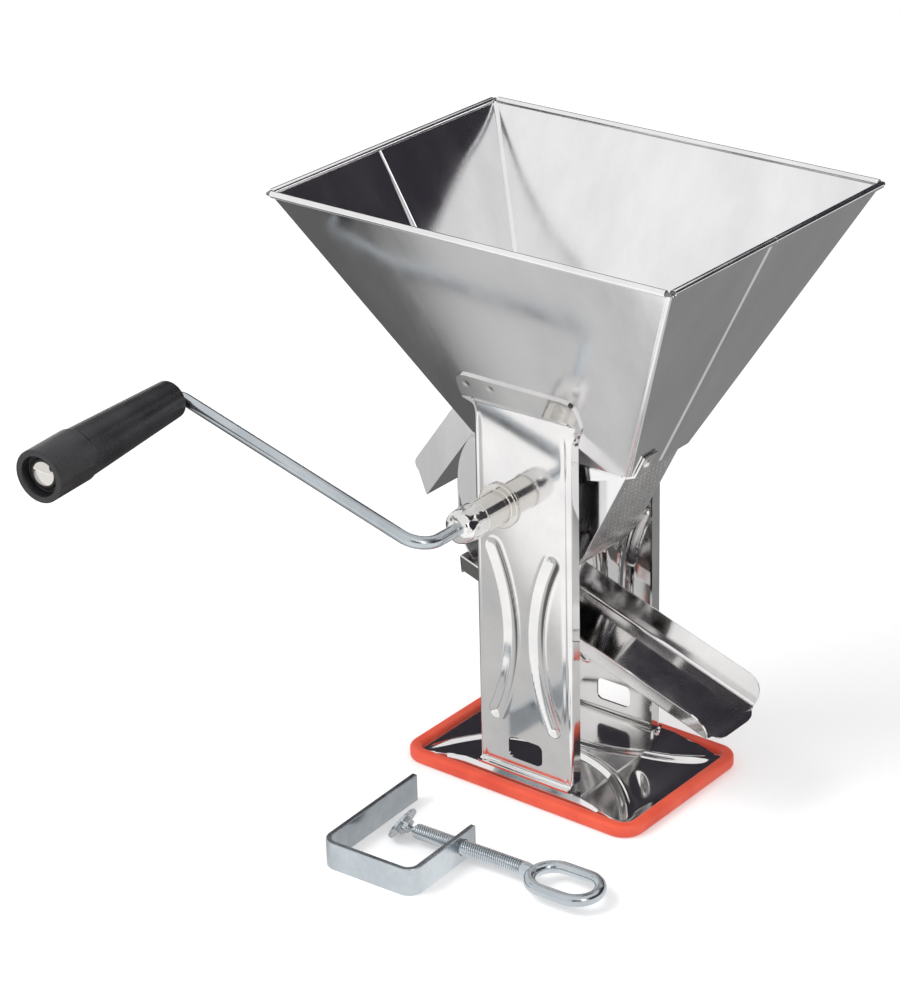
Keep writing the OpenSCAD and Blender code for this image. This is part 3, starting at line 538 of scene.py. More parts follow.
# %% Both halves
def hopper_half(side, name):
    """One folded wall sheet with the hem along its three rim edges."""
    top = hem_z - (HEM_D + WIRE_D) / 4
    levels = spread(THROAT_Z, WINDOW_Z, 5) + spread(WINDOW_Z, top, 7)[1:]
    stretches = [spread(0, 1, 1 / 12), [1.33, 1.66], spread(2, 3, 1 / 6), [3.25, 3.5, 3.75],
                 spread(4, 5, 1 / 6), [5.33, 5.66], spread(6, 7, 1 / 12)]
    columns = [u for stretch in stretches for u in stretch]
    wall = bent_sheet(columns, levels, lambda u, z: hopper_point(u, z, side), side * SHEET_T,
                      keep=lambda u, z: u < 5 or z > WINDOW_Z)
    y = hem_y[side]
    long_run = [(-hem_x + HEM_GAP, y, hem_z), (hem_x - HEM_GAP, y, hem_z)]
    short_runs = [[(x, y - side * HEM_GAP, hem_z), (x, SEAM_Y, hem_z)] for x in (hem_x, -hem_x)]
    runs = [long_run] + short_runs
    turned_round = [side > 0, side > 0, side < 0]
    tubes = [hem(*(reversed(run) if flip else run)) for run, flip in zip(runs, turned_round)]
    return worn_edges(made(name, joined(wall, *tubes)), width=0.15, segments=1, angle=50)


fitted(hopper_half(-1, "hopper_near"), steel, "stand", "hopper_near_half")
fitted(hopper_half(1, "hopper_far"), steel, "stand", "hopper_far_half")

# %% [markdown]
# ## The rim's wire and the press chamber
#
# The wire inside the hem shows only at the corners, where the hem is cut back. The chamber's
# cheeks, its rear casing and the splash sheet behind it are plain cut sheets, so they keep the
# frame's shape with broken edges. The sieve has hundreds of punched holes, so its node stays as it
# is, and a bevel modifier on top rounds the burr of each hole.

# %% Wire, cheeks, casing and sieve
def kept(node, finish):
    """Leaves a CAD node as it is and gives it its finish."""
    nodes[node].data.materials.clear()
    nodes[node].data.materials.append(finish)
    print(node, "is kept as", finish.name)


kept("rim_wire", wire)
kept("sieve_plate", pierced)
worn_edges(nodes["sieve_plate"], width=0.15, segments=1, angle=50)
for node in ("near_press_cheek", "far_press_cheek", "rear_casing", "splash_back", "waste_slide"):
    fitted(softened(node, node + "_sheet", 0.25), steel, "stand", node)
fitted(softened("sieve_rivet", "sieve_rivet_head", 0.3, 3), nickel, "stand", "sieve_rivet")

# %% [markdown]
# ## The side panels
#
# Each panel is one blank: a foot that is bent out, a face with flanges along both edges, and a tab
# that follows the hopper's wall and is spot-welded to it. The flanges open into the tab's ears,
# and a small relief hole there keeps the sheet from tearing. Two curved beads are pressed inwards
# to stiffen the face. A bump map could fake them, but their reflections would stay flat, so each
# bead is a depth that is taken off the face, full in its middle and rolled up at its edge.

# %% Sizes of a panel
PANEL_WID = 58.6
PANEL_Y = 39.2
PANEL_T = 1.2
PANEL_GRID = 0.8
FLANGE = 7
FLANGE_BEND = 1.8
FOOT_Z = 10.6
FOOT_WID = 3.4
TAB_HIGH = 13
TAB_R = 7
TAB_BEND = 1.6
EAR_LEN = 16
RELIEF_R = 1
FOOT_IN = 0.3
FOOT_UP = 1.7
AXIS = Vector((-13.5, 0, 158.8))
SLEEVE_D = 17.4
SLEEVE_SEAT = 0.2
half_panel = PANEL_WID / 2
tab_half = half_panel + FLANGE
print("a panel's tab is", 2 * tab_half, "mm wide")

# %% Sizes of what is pressed into a panel
BEAD_R = 110
BEAD_NEAR = 8
BEAD_Z = 88
BEAD_HALF = 25
BEAD_WID = 8.5
BEAD_DEEP = 1.4
BEAD_FORM = 1.35
BEAD_LIP = 0.15
BEAD_LIP_AT = 1.15
BEAD_LIP_WID = 0.18
CREASE_IN = 3
CREASE_WID = 2
CREASE_DEEP = 0.25
CREASE_TOP = 206
CREASE_FADE = 8
SLOT_LEN = 21.4
SLOT_HIGH = 12.4
SLOT_Z = 23
WELD_SPOTS = [(-30, 6), (-15, 5), (26, 6)]
WELD_DEEP = 0.12
WELD_SPREAD = 1.4
print("each bead is an arc of", 2 * BEAD_HALF, "degrees and", BEAD_R, "mm radius")


# %% Pressed features of a panel
def pressed(x, z):
    """Height of the face round the two beads, which are pressed inwards, and of the side creases."""
    high = 0
    for sx in (-1, 1):
        dx = x - sx * (BEAD_NEAR + BEAD_R)
        angle = math.atan2(z - BEAD_Z, -sx * dx)
        limit = math.radians(BEAD_HALF)
        angle = min(limit, max(-limit, angle))
        off_x = dx + sx * BEAD_R * math.cos(angle)
        off_z = z - BEAD_Z - BEAD_R * math.sin(angle)
        share = math.hypot(off_x, off_z) / (BEAD_WID / 2)
        high -= BEAD_DEEP * max(0, 1 - share ** BEAD_FORM)
        high += BEAD_LIP * math.exp(-((share - BEAD_LIP_AT) / BEAD_LIP_WID) ** 2)
    crease = (abs(x) - half_panel + CREASE_IN) / CREASE_WID
    fade = min(1, max(0, (CREASE_TOP - z) / CREASE_FADE))
    return high - CREASE_DEEP * fade * math.exp(-4 * crease * crease)


def slot_edge(u, v):
    """Distance outside the clamp slot's edge."""
    corner = SLOT_HIGH / 4
    dx = abs(u) - SLOT_LEN / 2 + corner
    dz = abs(v - SLOT_Z) - SLOT_HIGH / 2 + corner
    return math.hypot(max(dx, 0), max(dz, 0)) + min(max(dx, dz), 0) - corner


# %% Both panels
def panel(side, name, node):
    """Panel whose blank is bent twice: up from the foot to the tab, and across into the flanges."""
    run = run_side[side]
    lean = math.atan(run)
    bend_z = THROAT_Z + (PANEL_Y - THROAT_WID / 2) / run
    corner_z = bend_z - PANEL_T / math.sin(lean)
    tab = TAB_HIGH + PANEL_T * math.tan(lean / 2)
    tip = (PANEL_T * math.cos(lean) + tab * math.sin(lean),
           bend_z - PANEL_T * math.sin(lean) + tab * math.cos(lean))
    rise = folded([(FOOT_WID, FOOT_Z), (0, FOOT_Z), (0, corner_z), tip], TAB_BEND)
    rise_marks = lengths(rise)
    foot_end = 7
    shift = rise[foot_end].y - rise_marks[foot_end]
    cross = folded([(-half_panel, FLANGE), (-half_panel, 0), (half_panel, 0), (half_panel, FLANGE)],
                   FLANGE_BEND)
    cross_marks = lengths(cross)
    v_top = rise_marks[-1] + shift

    def place(u, v):
        out, z = along(rise, rise_marks, v - shift)
        x, depth = along(cross, cross_marks, u + cross_marks[-1] / 2)
        bent = min(1, max(0, (corner_z + 1 - v) / EAR_LEN))
        bent *= bent * (3 - 2 * bent)
        x = u + (x - u) * bent
        dent = 0
        for at_x, down in WELD_SPOTS:
            away = (u - at_x) ** 2 + (v - v_top + down) ** 2
            dent += WELD_DEEP * math.exp(-away / WELD_SPREAD)
        out += pressed(x, v) - dent
        return Vector((x, side * (PANEL_Y + out - depth * bent), z))

    def cut(u, v):
        a = abs(u)
        relief = math.hypot(a - half_panel, v - corner_z) - RELIEF_R
        foot = max(half_panel - FOOT_IN - a, v - FOOT_Z - FOOT_UP)
        bore = math.hypot(u - AXIS.x, v - AXIS.z) - SLEEVE_D / 2 + SLEEVE_SEAT
        round_off = TAB_R - math.hypot(max(a - tab_half + TAB_R, 0), max(v - v_top + TAB_R, 0))
        return min(slot_edge(u, v), relief, foot, bore, round_off)

    us = spread(-tab_half, tab_half, PANEL_GRID)
    vs = spread(shift, v_top, PANEL_GRID)
    sheet = made(name, bent_sheet(us, vs, place, PANEL_T * -side, cut), 50)
    return fitted(worn_edges(sheet, width=0.25, segments=2, angle=60), sheen, "stand", node)


panel(-1, "near_panel", "near_side_panel")
panel(1, "far_panel", "far_side_panel")

# %% [markdown]
# ## The base
#
# The base is a shallow pressed tray: a land under the panels that slopes down to the rim on all
# four sides, with four curved ribs that run towards the corners and an oval dimple. Nothing on it
# hangs over, so it can be drawn as one height over the table. The rubber rim is one section
# carried round the tray's edge.

# %% Sizes of the base
BASE_LEN = 147.4
BASE_WID = 101.8
BASE_R = 12
RUBBER_WID = 6.4
RUBBER_HIGH = 7
RUBBER_R = 1.9
PLATE_T = 1
PLATE_GRID = 0.9
PLATE_LOW = 4.5
LAND_Z = 9.4
LAND_LEN = 74
LAND_WID = 84.2
HIP_IN = 0.3
HIP_DROP = 1
GROOVE = 1.2
RIB_WID = 6.5
RIB_RISE = 1.5
RIB_R = 77
RIB_Y = 5
RIB_IN = 3
RIB_FADE = 8
DIMPLE_LEN = 26
DIMPLE_WID = 9
DIMPLE_DEEP = 1.2
DIMPLE_X = 51
DIMPLE_Y = -10
DIMPLE_TURN = 129
plate_x = BASE_LEN / 2 - RUBBER_WID
plate_y = BASE_WID / 2 - RUBBER_WID
print("the tray is", 2 * plate_x, "by", 2 * plate_y, "mm inside its rubber")


# %% The tray
def bump(share):
    """Smooth hump that is 1 in the middle and runs out where share is 1."""
    return max(0, 1 - share * share) ** 1.5


def plate_point(x, y):
    """Point of the tray: the lowest of its land and its four slopes, with ribs and dimple."""
    foot = PLATE_LOW - HIP_DROP
    climb = LAND_Z - foot
    end = foot + (plate_x - HIP_IN - abs(x)) * climb / (plate_x - LAND_LEN / 2)
    flank = foot + (plate_y - HIP_IN - abs(y)) * climb / (plate_y - HIP_IN - LAND_WID / 2)
    z = max(PLATE_LOW, min(LAND_Z, end, flank))
    off = math.hypot(x, abs(y) - RIB_Y - RIB_R) - RIB_R
    fade = min(1, max(0, (plate_x - RIB_IN - abs(x)) / RIB_FADE))
    z += RIB_RISE * bump(off / (RIB_WID / 2)) * fade
    turn = math.radians(DIMPLE_TURN)
    dx = (x - DIMPLE_X) * math.cos(turn) + (y - DIMPLE_Y) * math.sin(turn)
    dy = (y - DIMPLE_Y) * math.cos(turn) - (x - DIMPLE_X) * math.sin(turn)
    z -= DIMPLE_DEEP * bump(math.hypot(dx / DIMPLE_LEN, dy / DIMPLE_WID) * 2)
    return Vector((x, y, z))


def plate_edge(x, y):
    """Distance inside the tray's round-cornered edge."""
    corner = BASE_R - RUBBER_WID + GROOVE
    dx = abs(x) - plate_x - GROOVE + corner
    dy = abs(y) - plate_y - GROOVE + corner
    return corner - math.hypot(max(dx, 0), max(dy, 0)) - min(max(dx, dy), 0)


tray = bent_sheet(spread(-plate_x - GROOVE, plate_x + GROOVE, PLATE_GRID),
                  spread(-plate_y - GROOVE, plate_y + GROOVE, PLATE_GRID),
                  plate_point, PLATE_T, plate_edge)
fitted(made("base_tray", tray, 45), sheen, "stand", "base_plate")


# %% Rubber rim
def round_path(half_x, half_y, corner, flats=10):
    """Points round a rectangle with round corners, anticlockwise."""
    path = []
    for k, (sx, sy) in enumerate([(1, 1), (-1, 1), (-1, -1), (1, -1)]):
        for j in range(flats + 1):
            angle = math.radians(90 * (k + j / flats))
            path.append(Vector((sx * (half_x - corner) + corner * math.cos(angle),
                                sy * (half_y - corner) + corner * math.sin(angle), 0)))
    return path


def round_section(width, low, high, corner):
    """Section with round corners between two heights."""
    rim = round_path(width / 2, (high - low) / 2, corner, 5)
    return [(p.x, p.y + (low + high) / 2) for p in rim]


rubber_path = round_path(BASE_LEN / 2 - RUBBER_WID / 2, BASE_WID / 2 - RUBBER_WID / 2,
                         BASE_R - RUBBER_WID / 2, 12)
rubber_section = round_section(RUBBER_WID, 0, RUBBER_HIGH, RUBBER_R)
rim = swept(rubber_path, lambda k: rubber_section, Vector((0, 0, 1)), True)
fitted(made("rubber_edge", rim, 60), rubber, "stand", "rubber_rim")

# %% [markdown]
# ## The juice chute
#
# The chute is a folded tray between the panels: a floor and two walls with round front corners.
# At the mouth the floor alone runs on, round and bent down a little, so that juice drips off it.
# It is cut flat and bent like the panels, and then it is tilted into its place.

# %% Sizes of the chute
CHUTE_TILT = 18
CHUTE_Z = 89.6
CHUTE_REF = 30
CHUTE_FRONT = 80
CHUTE_REAR = 84
CHUTE_FLOOR = 44
CHUTE_TOP = 56
CHUTE_DEEP = 13.4
CHUTE_R = 10
CHUTE_T = 1
CHUTE_FOLD = 2.4
CHUTE_GRID = 0.9
LIP = 7
LIP_R = 1.6 * LIP
LIP_BEND = math.radians(24)
WALL_IN = 1.2
FAR_IN = 9
wall_slope = (CHUTE_TOP - CHUTE_FLOOR) / 2 / CHUTE_DEEP
wall_inset = CHUTE_T * math.hypot(1, wall_slope)
low_half = CHUTE_FLOOR / 2 + wall_slope * CHUTE_T - wall_inset
top_half = CHUTE_TOP / 2 - wall_inset
trough = folded([(-top_half, 0), (-low_half, CHUTE_T - CHUTE_DEEP),
                 (low_half, CHUTE_T - CHUTE_DEEP), (top_half, 0)], CHUTE_FOLD)
trough_marks = lengths(trough)
trough_half = trough_marks[-1] / 2
lip_start = CHUTE_FRONT - LIP / 2
lip_reach = LIP / 2 + CHUTE_T
in_chute = (Matrix.Translation((CHUTE_REF, 0, CHUTE_Z))
            @ Matrix.Rotation(math.radians(CHUTE_TILT), 4, "Y"))
print("the chute's blank is", round(2 * trough_half, 1), "mm wide")


# %% Folding and cutting the chute
def chute_point(u, v):
    """Point of the chute's inner face, u across the folds and v along it."""
    y, z = along(trough, trough_marks, u + trough_half)
    x = v
    if v > lip_start:
        angle = LIP_BEND * (v - lip_start) / lip_reach
        x = lip_start + lip_reach / LIP_BEND * math.sin(angle)
        z -= lip_reach / LIP_BEND * (1 - math.cos(angle))
    return in_chute @ Vector((x, y, z))


def end_wall_point(u, v):
    """Point of the flat wall that closes the chute's rear."""
    half = top_half - wall_slope * CHUTE_DEEP * (1 - v)
    return in_chute @ Vector((1 - CHUTE_REAR, u * half, -CHUTE_DEEP * (1 - v)))


def chute_edge(u, v):
    """Distance inside the chute's outline, with round wall ends and a round lip."""
    a = abs(u)
    wall_end = max(low_half - WALL_IN - a, lip_start - v)
    top = trough_half - a
    corner = FAR_IN
    if top < CHUTE_R:
        corner = CHUTE_R - math.hypot(CHUTE_R - top, max(v - lip_start + CHUTE_R, 0))
    lip = FAR_IN
    if v > lip_start:
        ahead = max(v - lip_start - lip_reach + LIP_R, 0)
        lip = LIP_R - math.hypot(max(a - low_half + CHUTE_T + LIP_R, 0), ahead)
    return min(wall_end, corner, lip)


# %% Chute
chute = bent_sheet(spread(-trough_half, trough_half, CHUTE_GRID),
                   spread(-CHUTE_REAR, lip_start + lip_reach, CHUTE_GRID),
                   chute_point, CHUTE_T, chute_edge)
end_wall = bent_sheet(spread(-1, 1, 0.25), spread(0, 1, 0.25), end_wall_point, CHUTE_T)
chute = made("chute_tray", joined(chute, end_wall), 45)
fitted(worn_edges(chute, width=0.2, segments=2, angle=60), sheen, "stand", "juice_chute")

# %% [markdown]
# ## Rotor and bearings
#
# The paddles and the nylon roller turn inside the chamber and can be seen from above, through the
# throat. They are plain turned and sawn pieces, so they keep the frame's shape with broken edges.

# %% Rotor pieces
for node, finish, edge in [("rotor_shaft", nickel, 0.5), ("shaft_clip", wire, 0.2),
                           ("roller_core", nylon, 0.6)]:
    fitted(softened(node, node + "_turned", edge), finish, "crank", node)
for k in range(1, 5):
    fitted(softened(f"paddle_{k}", f"paddle_blade_{k}", 0.2), steel, "crank", f"paddle_{k}")
fitted(softened("far_bearing_bush", "far_bush", 0.4), nickel, "stand", "far_bearing_bush")
fitted(softened("near_bearing_sleeve", "near_sleeve", 0.5, 3), nickel, "stand", "near_bearing_sleeve")

# %% [markdown]
# ## The crank
#
# The hub is a sleeve pressed onto the shaft, and its outer end is crimped round the rod, which
# leaves it dented. The dents could be sculpted by hand. Here they are a ripple of the turned
# profile, with one wave for each jaw and some noise, so that no two are alike. The rod is one bar
# with two bends. Both follow the crank's own axes: X runs along the arm and Y along the shaft.

# %% Sizes of the crank and its grip
CRANK_ANGLE = 164.9
CRANK_LEN = 162.7
CRANK_Y = 100.8
ROD_D = 6.6
HUB_D = 18.2
HUB_LEN = 15.6
HUB_START = 59.1
HUB_BEND = 13
GRIP_BEND = 5.5
GRIP_LEAN = 5.2
GRIP_PLAY = 0.3
GRIP_LEN = 102.9
GRIP_D = 27.8
GRIP_END = 29
GRIP_STEP = 0.7
GRIP_EDGE_R = 0.6
NECK_D = 20.3
CUP_D = 21
CUP = 6
BORE_PLAY = 0.05
in_crank = Matrix.Translation(AXIS) @ Matrix.Rotation(math.radians(-CRANK_ANGLE), 4, "Y")
grip_turn = math.radians(90 + GRIP_LEAN)
grip_start = GRIP_BEND * math.tan(grip_turn / 2) + GRIP_PLAY
grip_way = Vector((math.cos(grip_turn), -math.sin(grip_turn), 0))
print("the grip starts", round(grip_start, 1), "mm past the corner of the rod")

# %% The crimped hub
CRIMP_START = 0.45
CRIMP_ROUND = 2.2
CRIMP_ALONG = 0.35
CRIMP_JAWS = 4
JAW_DEEP = 0.5
CRIMP_DEEP = 0.55
CRIMP_UNEVEN = 0.8
HUB_WALL = 0.4
HUB_BORE_R = 5
HUB_EDGE = [(0.6, 0), (0.15, 0.2), (0, 0.7)]
HUB_NOSE = 0.8


def hub_dents(angle, length):
    """Dents of the crimp, deeper towards the hub's outer end."""
    share = max(0, (length / HUB_LEN - CRIMP_START) / (1 - CRIMP_START))
    spot = Vector((CRIMP_ROUND * math.cos(angle), CRIMP_ROUND * math.sin(angle), CRIMP_ALONG * length))
    jaws = JAW_DEEP * math.cos(CRIMP_JAWS * angle)
    return share * (jaws - CRIMP_DEEP + CRIMP_UNEVEN * noise.noise(spot))


hub_profile = [(HUB_BORE_R, 0)] + [(HUB_D / 2 - inwards, up) for inwards, up in HUB_EDGE]
hub_profile += [(HUB_D / 2, HUB_LEN * k / 12) for k in range(1, 9)]
straight = HUB_LEN * 2 / 3
for k in range(1, 9):
    turn = math.radians(90 * k / 8)
    taper = (HUB_D - ROD_D) / 2 - HUB_WALL
    hub_profile.append((ROD_D / 2 + HUB_WALL + taper * math.cos(turn) ** HUB_NOSE,
                        straight + (HUB_LEN - straight) * math.sin(turn)))
at_hub = in_crank @ Matrix.Translation((0, -HUB_START, 0)) @ Matrix.Rotation(math.pi / 2, 4, "X")
hub = turned(hub_profile, at_hub, 96, hub_dents)
fitted(made("hub", hub, 30), crumpled, "crank", "crank_hub")

# %% The bent rod
rod_corners = [Vector((0, -HUB_START - HUB_LEN * 0.55, 0)), Vector((0, -CRANK_Y, 0)),
               Vector((CRANK_LEN, -CRANK_Y, 0)),
               Vector((CRANK_LEN, -CRANK_Y, 0)) + grip_way * (grip_start + GRIP_LEN - CUP / 2)]
hub_side = folded(rod_corners[:3], HUB_BEND, 16)[:-1]
grip_side = folded(rod_corners[1:], GRIP_BEND, 14)[1:]
rod_path = [in_crank @ p for p in hub_side + grip_side]
rod = swept(rod_path, lambda k: circle(ROD_D / 2, 32))
fitted(made("rod", rod, 50), zinc, "crank", "crank_rod")

# %% [markdown]
# ## The grip
#
# The grip is moulded in black plastic: a long cone that swells to a thick end, with a hollow where
# the rod is riveted over a bright dome. It turns freely on the rod, so its bore is part of the
# profile, and the profile is closed and spun as a ring.

# %% Grip
at_grip = (in_crank @ Matrix.Translation((CRANK_LEN, -CRANK_Y, 0))
           @ Matrix.Rotation(-grip_turn, 4, "Z") @ Matrix.Rotation(math.pi / 2, 4, "Y")
           @ Matrix.Translation((0, 0, grip_start)))
shoulder = GRIP_LEN - GRIP_END
step_end = shoulder + 1.2
cup_floor = GRIP_LEN - CUP
bore_r = ROD_D / 2 + BORE_PLAY
grip_profile = folded([(bore_r, 0), (NECK_D / 2, 0), (GRIP_D / 2 - GRIP_STEP, shoulder),
                       (GRIP_D / 2, step_end), (GRIP_D / 2, GRIP_LEN), (CUP_D / 2, GRIP_LEN),
                       (CUP_D / 2, cup_floor), (bore_r, cup_floor)], GRIP_EDGE_R, 5)
grip = turned([(p.x, p.y) for p in grip_profile], at_grip, 96, loop=True)
fitted(made("grip", grip, 50), black, "grip", "grip_sleeve")

# %% Riveted dome
DOME_D = 16.4
DOME_HIGH = 0.32 * DOME_D
DOME_EDGE = 0.3
DOME_PLAY = 0.02
dome_floor = cup_floor + DOME_EDGE
dome_start = dome_floor + DOME_EDGE
dome_profile = [(ROD_D / 2, dome_floor), (DOME_D / 2 - DOME_EDGE, dome_floor)]
for k in range(10):
    turn = math.radians(90 * k / 9)
    dome_profile.append((DOME_D / 2 * math.cos(turn) + DOME_PLAY,
                         dome_start + (DOME_HIGH - 2 * DOME_EDGE) * math.sin(turn)))
fitted(made("dome", turned(dome_profile, at_grip, 64), 40), nickel, "crank", "grip_dome")

# %% [markdown]
# ## The table clamp
#
# The clamp is a bent strap of zinc-plated steel. Its screw has a rolled thread and a rod eye, and
# carries a swivelling pad. A thread could be a helix that is joined to a bar, which leaves faces
# inside. Here it is a bar whose radius rises and falls once for each pitch, so it is one skin.

# %% Sizes of the clamp
CLAMP_X = -38.3
CLAMP_Y = -157.5
CLAMP_YAW = 2.7
SCREW_Y = 43
SCREW_Z = 7.5
SCREW_D = 8
PITCH = 1.25
THREAD_DEEP = 0.62
RUN_OUT = 1.2
RUN_OUT_DEEP = 0.6
SHANK_START = 27.5
EYE_X = 95.5
EYE_ROD = 6.4
EYE_LEN = 43
EYE_WID = 30
EYE_R = 11.7
in_clamp = (Matrix.Translation((CLAMP_X, CLAMP_Y, 0))
            @ Matrix.Rotation(math.radians(CLAMP_YAW), 4, "Z"))
at_screw = in_clamp @ Matrix.Translation((0, SCREW_Y, SCREW_Z))
fitted(softened("clamp_frame", "clamp_strap", 0.9, 4), zinc, "clamp", "clamp_frame")


# %% Screw with its thread and eye
def thread(start, end, turns=40):
    """Threaded bar along X: its radius follows the helix and runs out at both ends."""
    rings = []
    for x in spread(start, end, PITCH / 6):
        ring = []
        ends = min(1, (x - start) / RUN_OUT, (end - x) / RUN_OUT)
        for k in range(turns):
            angle = 2 * math.pi * k / turns
            wave = abs(((x - start) / PITCH - k / turns) % 1 - 0.5) * 2
            flank = min(1, max(0, 1.35 * wave - 0.2))
            radius = SCREW_D / 2 - THREAD_DEEP * flank - RUN_OUT_DEEP * (1 - ends)
            ring.append(at_screw @ Vector((x, radius * math.cos(angle), radius * math.sin(angle))))
        rings.append(ring)
    return ringed(rings)


eye_path = [at_screw @ (p + Vector((EYE_X + EYE_LEN / 2, 0, 0)))
            for p in round_path(EYE_LEN / 2 - EYE_ROD / 2, EYE_WID / 2 - EYE_ROD / 2, EYE_R, 14)]
eye = swept(eye_path, lambda k: circle(EYE_ROD / 2, 28), loop=True)
neck = [(SCREW_D / 2 - 0.1, 0), (SCREW_D / 2 + 0.05, 1.5), (SCREW_D / 2 - 0.5, 5), (1.5, 6.2)]
at_neck = at_screw @ Matrix.Translation((EYE_X - 3, 0, 0)) @ Matrix.Rotation(math.pi / 2, 4, "Y")
screw = joined(thread(SHANK_START, EYE_X - 2), eye, turned(neck, at_neck, 32))
fitted(made("threaded_screw", screw, 50), zinc, "screw", "clamp_screw")
fitted(softened("screw_ball", "ball_stud", 0.2), zinc, "swivel", "screw_ball")
fitted(softened("pressure_pad", "pad", 0.5, 3), zinc, "pad", "pressure_pad")

# %% [markdown]
# ## Studio
#
# The photograph has a white background and soft light from the left. Paper that is lit white would
# need so much light that the steel burns out. So the floor and the world shine by themselves, but
# at full strength only for rays that come from the camera, a mirror or glass, and more faintly
# where they light the object.

# %% Studio helpers
def glow(name, colour):
    """Material of a studio card with an even brightness."""
    material = bpy.data.materials.new(name)
    material.use_nodes = True
    tree = material.node_tree
    tree.nodes.clear()
    shine = add(tree, "Emission", {"Color": (*colour, 1), "Strength": 1})
    add(tree, "OutputMaterial", {"Surface": shine.outputs[0]})
    return material


def flat(name, corners):
    """Flat stage object through four corners in metres."""
    mesh = bpy.data.meshes.new(name)
    mesh.from_pydata([Vector(c) for c in corners], [], [(0, 1, 2, 3)])
    obj = bpy.data.objects.new(name, mesh)
    bpy.context.scene.collection.objects.link(obj)
    return obj


def shown(tree):
    """Value that is 1 for rays from the camera, a mirror or glass, and 0 for the light itself."""
    path = add(tree, "LightPath").outputs
    seen = add(tree, "Math", {0: path["Is Camera Ray"], 1: path["Is Glossy Ray"]},
               operation="MAXIMUM").outputs[0]
    return add(tree, "Math", {0: seen, 1: path["Is Transmission Ray"]},
               operation="MAXIMUM").outputs[0]


def level_square(name, half, z, make):
    """Level square of a given half width, made as floor or as card."""
    return make(name, [(-half, -half, z), (half, -half, z), (half, half, z), (-half, half, z)])


# %% White paper and white room
FLOOR_HALF = 6
PAPER_LIFT = 0.2
PAPER_WHITE = 0.93
ROOM_LIGHT = 0.72
floor = level_square("floor", FLOOR_HALF, 0, flat)
paper, tree, shader, spot = started("studio_paper")
shader.inputs["Base Color"].default_value = (PAPER_WHITE, PAPER_WHITE, PAPER_WHITE, 1)
shader.inputs["Roughness"].default_value = 0.9
shader.inputs["Specular IOR Level"].default_value = 0
shader.inputs["Emission Color"].default_value = (1, 1, 1, 1)
lift = add(tree, "Math", {0: shown(tree), 1: PAPER_LIFT}, operation="MULTIPLY")
tree.links.new(lift.outputs[0], shader.inputs["Emission Strength"])
floor.data.materials.append(paper)

world = bpy.data.worlds.new("white room")
bpy.context.scene.world = world
world.use_nodes = True
tree = world.node_tree
level = add(tree, "MapRange", {"Value": shown(tree), "To Min": ROOM_LIGHT, "To Max": 1})
tree.links.new(level.outputs[0], tree.nodes["Background"].inputs["Strength"])
tree.nodes["Background"].inputs["Color"].default_value = (1, 1, 1, 1)
print("floor and world are white")


# %% [markdown]
# ## Cards
#
# Bright sheet shows the room more than itself, so its look depends on what stands around it. The
# photograph's steel mirrors dark surroundings behind, above, on the right and beside the camera.
# They could be black walls, but those would take light from the object. Here they are cards that
# only reflections see. One more card lies on the table under the strainer: what the lower sheets
# mirror is bright in front of the base, goes down to a middle level beneath it, and is dim behind.


# %% Dark cards
def card(name, corners, colour=(1, 1, 1)):
    """Studio card that only reflections see."""
    obj = flat(name, corners)
    obj.data.materials.append(glow(name, colour))
    obj.visible_camera = False
    obj.visible_diffuse = False
    obj.visible_shadow = False
    obj.visible_transmission = False
    return obj


DARK = (0.035, 0.032, 0.04)
card("dark_ceiling", [(-2, 1.2, 1.3), (2.4, 1.2, 1.3), (2.4, 2.4, 1.3), (-2, 2.4, 1.3)], DARK)
card("dark_front", [(0.72, -1.75, 0.45), (1.58, -1.05, 0.45), (1.58, -1.05, 1.55),
                    (0.72, -1.75, 1.55)], DARK)
card("dark_back", [(-2.4, 1.6, 0.35), (1.6, 1.6, 0.35), (1.6, 1.6, 1.13), (-2.4, 1.6, 1.13)], DARK)
card("dark_right", [(1.6, -0.3, 0.3), (1.6, 1.6, 0.3), (1.6, 1.6, 1.6), (1.6, -0.3, 1.6)], DARK)
print("four dark cards are set")


# %% Graded card on the table
def ramp(tree, source, start, end, low, high):
    """Smooth change from one level to another along a direction."""
    inputs = {"Value": source, "From Min": start, "From Max": end, "To Min": low, "To Max": high}
    return add(tree, "MapRange", inputs, interpolation_type="SMOOTHSTEP").outputs[0]


CARD_HALF = 1.2
CARD_Z = 0.0002
AWAY = (-0.63, 0.78, 0)
ASIDE = (0.78, 0.63, 0)
BRIGHT = 1.12
MIDDLE = 0.62
DIM_LEFT = 0.13
DIM_RIGHT = 0.26
FRONT_EDGE = (-0.108, -0.082)
BACK_EDGE = (0.02, 0.07)
SIDE_SPAN = (-0.05, 0.2)
table = level_square("table_card", CARD_HALF, CARD_Z, card)
tree = table.data.materials[0].node_tree
spot = add(tree, "TexCoord").outputs["Object"]
away = add(tree, "VectorMath", {0: spot, 1: AWAY}, operation="DOT_PRODUCT")
aside = add(tree, "VectorMath", {0: spot, 1: ASIDE}, operation="DOT_PRODUCT")
front = ramp(tree, away.outputs["Value"], *FRONT_EDGE, BRIGHT, MIDDLE)
right = ramp(tree, aside.outputs["Value"], *SIDE_SPAN, DIM_LEFT, DIM_RIGHT)
behind = ramp(tree, away.outputs["Value"], *BACK_EDGE, 1, 0)
level = add(tree, "Math", {0: front, 1: behind}, operation="MULTIPLY").outputs[0]
level = add(tree, "Math", {0: level, 1: right}, operation="MAXIMUM").outputs[0]
tree.links.new(level, tree.nodes["Emission"].inputs["Strength"])
print("the table card goes from", BRIGHT, "in front to", DIM_LEFT, "behind")


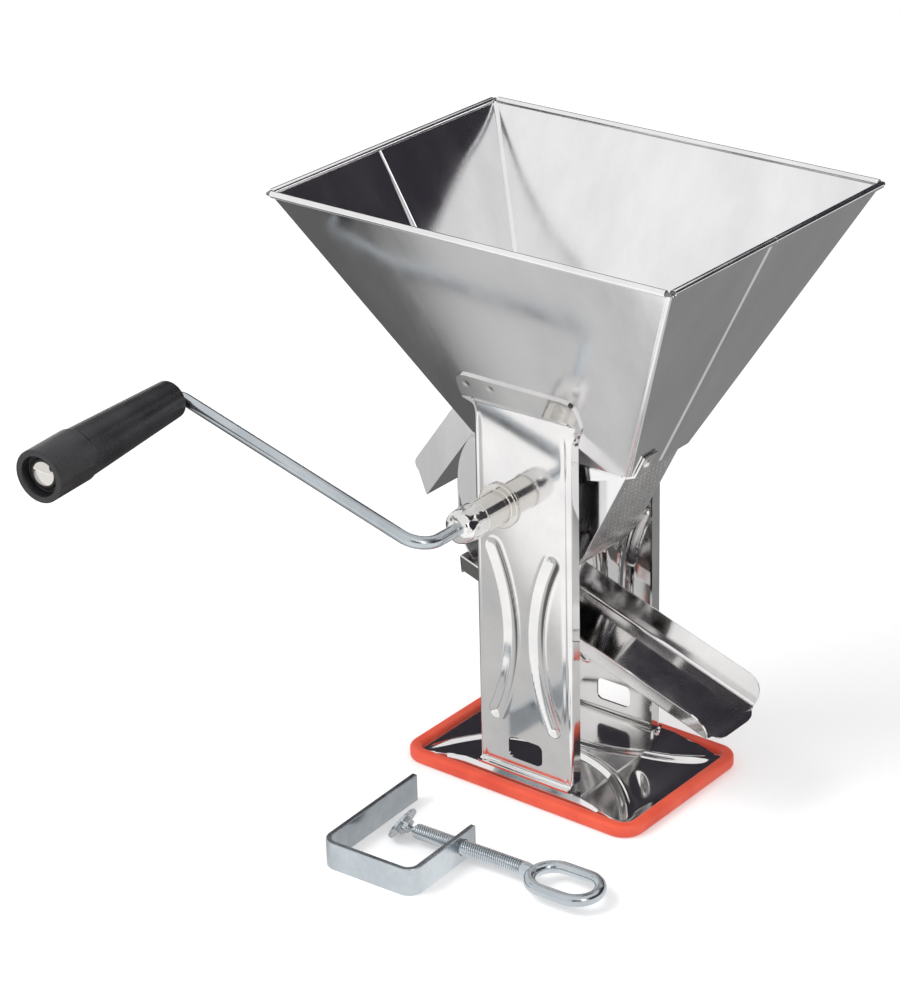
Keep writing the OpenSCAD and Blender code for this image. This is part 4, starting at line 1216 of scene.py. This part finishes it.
# %% [markdown]
# ## Lamps
#
# A large soft lamp on the left gives the light its direction and lays the soft shadow to the
# right. It is hidden from mirrors, because its square would show in the hopper. A weaker lamp
# fills the right side.


# %% Lamps
def lamp(name, place, aim, size, power):
    """Soft square lamp."""
    data = bpy.data.lights.new(name, "AREA")
    data.size = size
    data.energy = power
    obj = bpy.data.objects.new(name, data)
    obj.location = place
    obj.rotation_euler = (Vector(aim) - Vector(place)).to_track_quat("-Z", "Y").to_euler()
    bpy.context.scene.collection.objects.link(obj)
    return obj


AIM = (0, 0, 0.15)
key = lamp("key", (-1.0, -1.2, 1.9), AIM, 1.1, 24)
key.visible_glossy = False
fill = lamp("fill", (1.6, -1.2, 1.2), AIM, 1.2, 9)
print("lamps:", key.data.energy, "W from the left and", fill.data.energy, "W from the right")

# %% [markdown]
# ## Camera
#
# The photograph was taken with a long lens from the front right and above. The camera's place,
# direction and small roll were fitted to edges and corners that could be measured in it.

# %% Camera
CAMERA_AT = (0.842879, -1.135613, 0.812204)
AZIMUTH, ELEVATION, ROLL = map(math.radians, (39.013, 25.043, -1.5))
FOCAL_PIXELS = 3096.386
IMAGE_WIDTH = 900
SENSOR = 36
backward = Vector((math.sin(AZIMUTH) * math.cos(ELEVATION), -math.cos(AZIMUTH) * math.cos(ELEVATION),
                   math.sin(ELEVATION)))
level_right = Vector((math.cos(AZIMUTH), math.sin(AZIMUTH), 0))
level_up = backward.cross(level_right)
to_right = math.cos(ROLL) * level_right + math.sin(ROLL) * level_up
upward = -math.sin(ROLL) * level_right + math.cos(ROLL) * level_up
data = bpy.data.cameras.new("camera")
data.sensor_fit = "HORIZONTAL"
data.sensor_width = SENSOR
data.lens = FOCAL_PIXELS * SENSOR / IMAGE_WIDTH
data.clip_end = 50
camera = bpy.data.objects.new("camera", data)
turn = Matrix((to_right, upward, backward)).transposed()
camera.matrix_world = Matrix.Translation(CAMERA_AT) @ turn.to_4x4()
bpy.context.scene.collection.objects.link(camera)
bpy.context.scene.camera = camera
bpy.context.scene.view_settings.view_transform = "Standard"
print("lens", round(data.lens, 1), "mm")
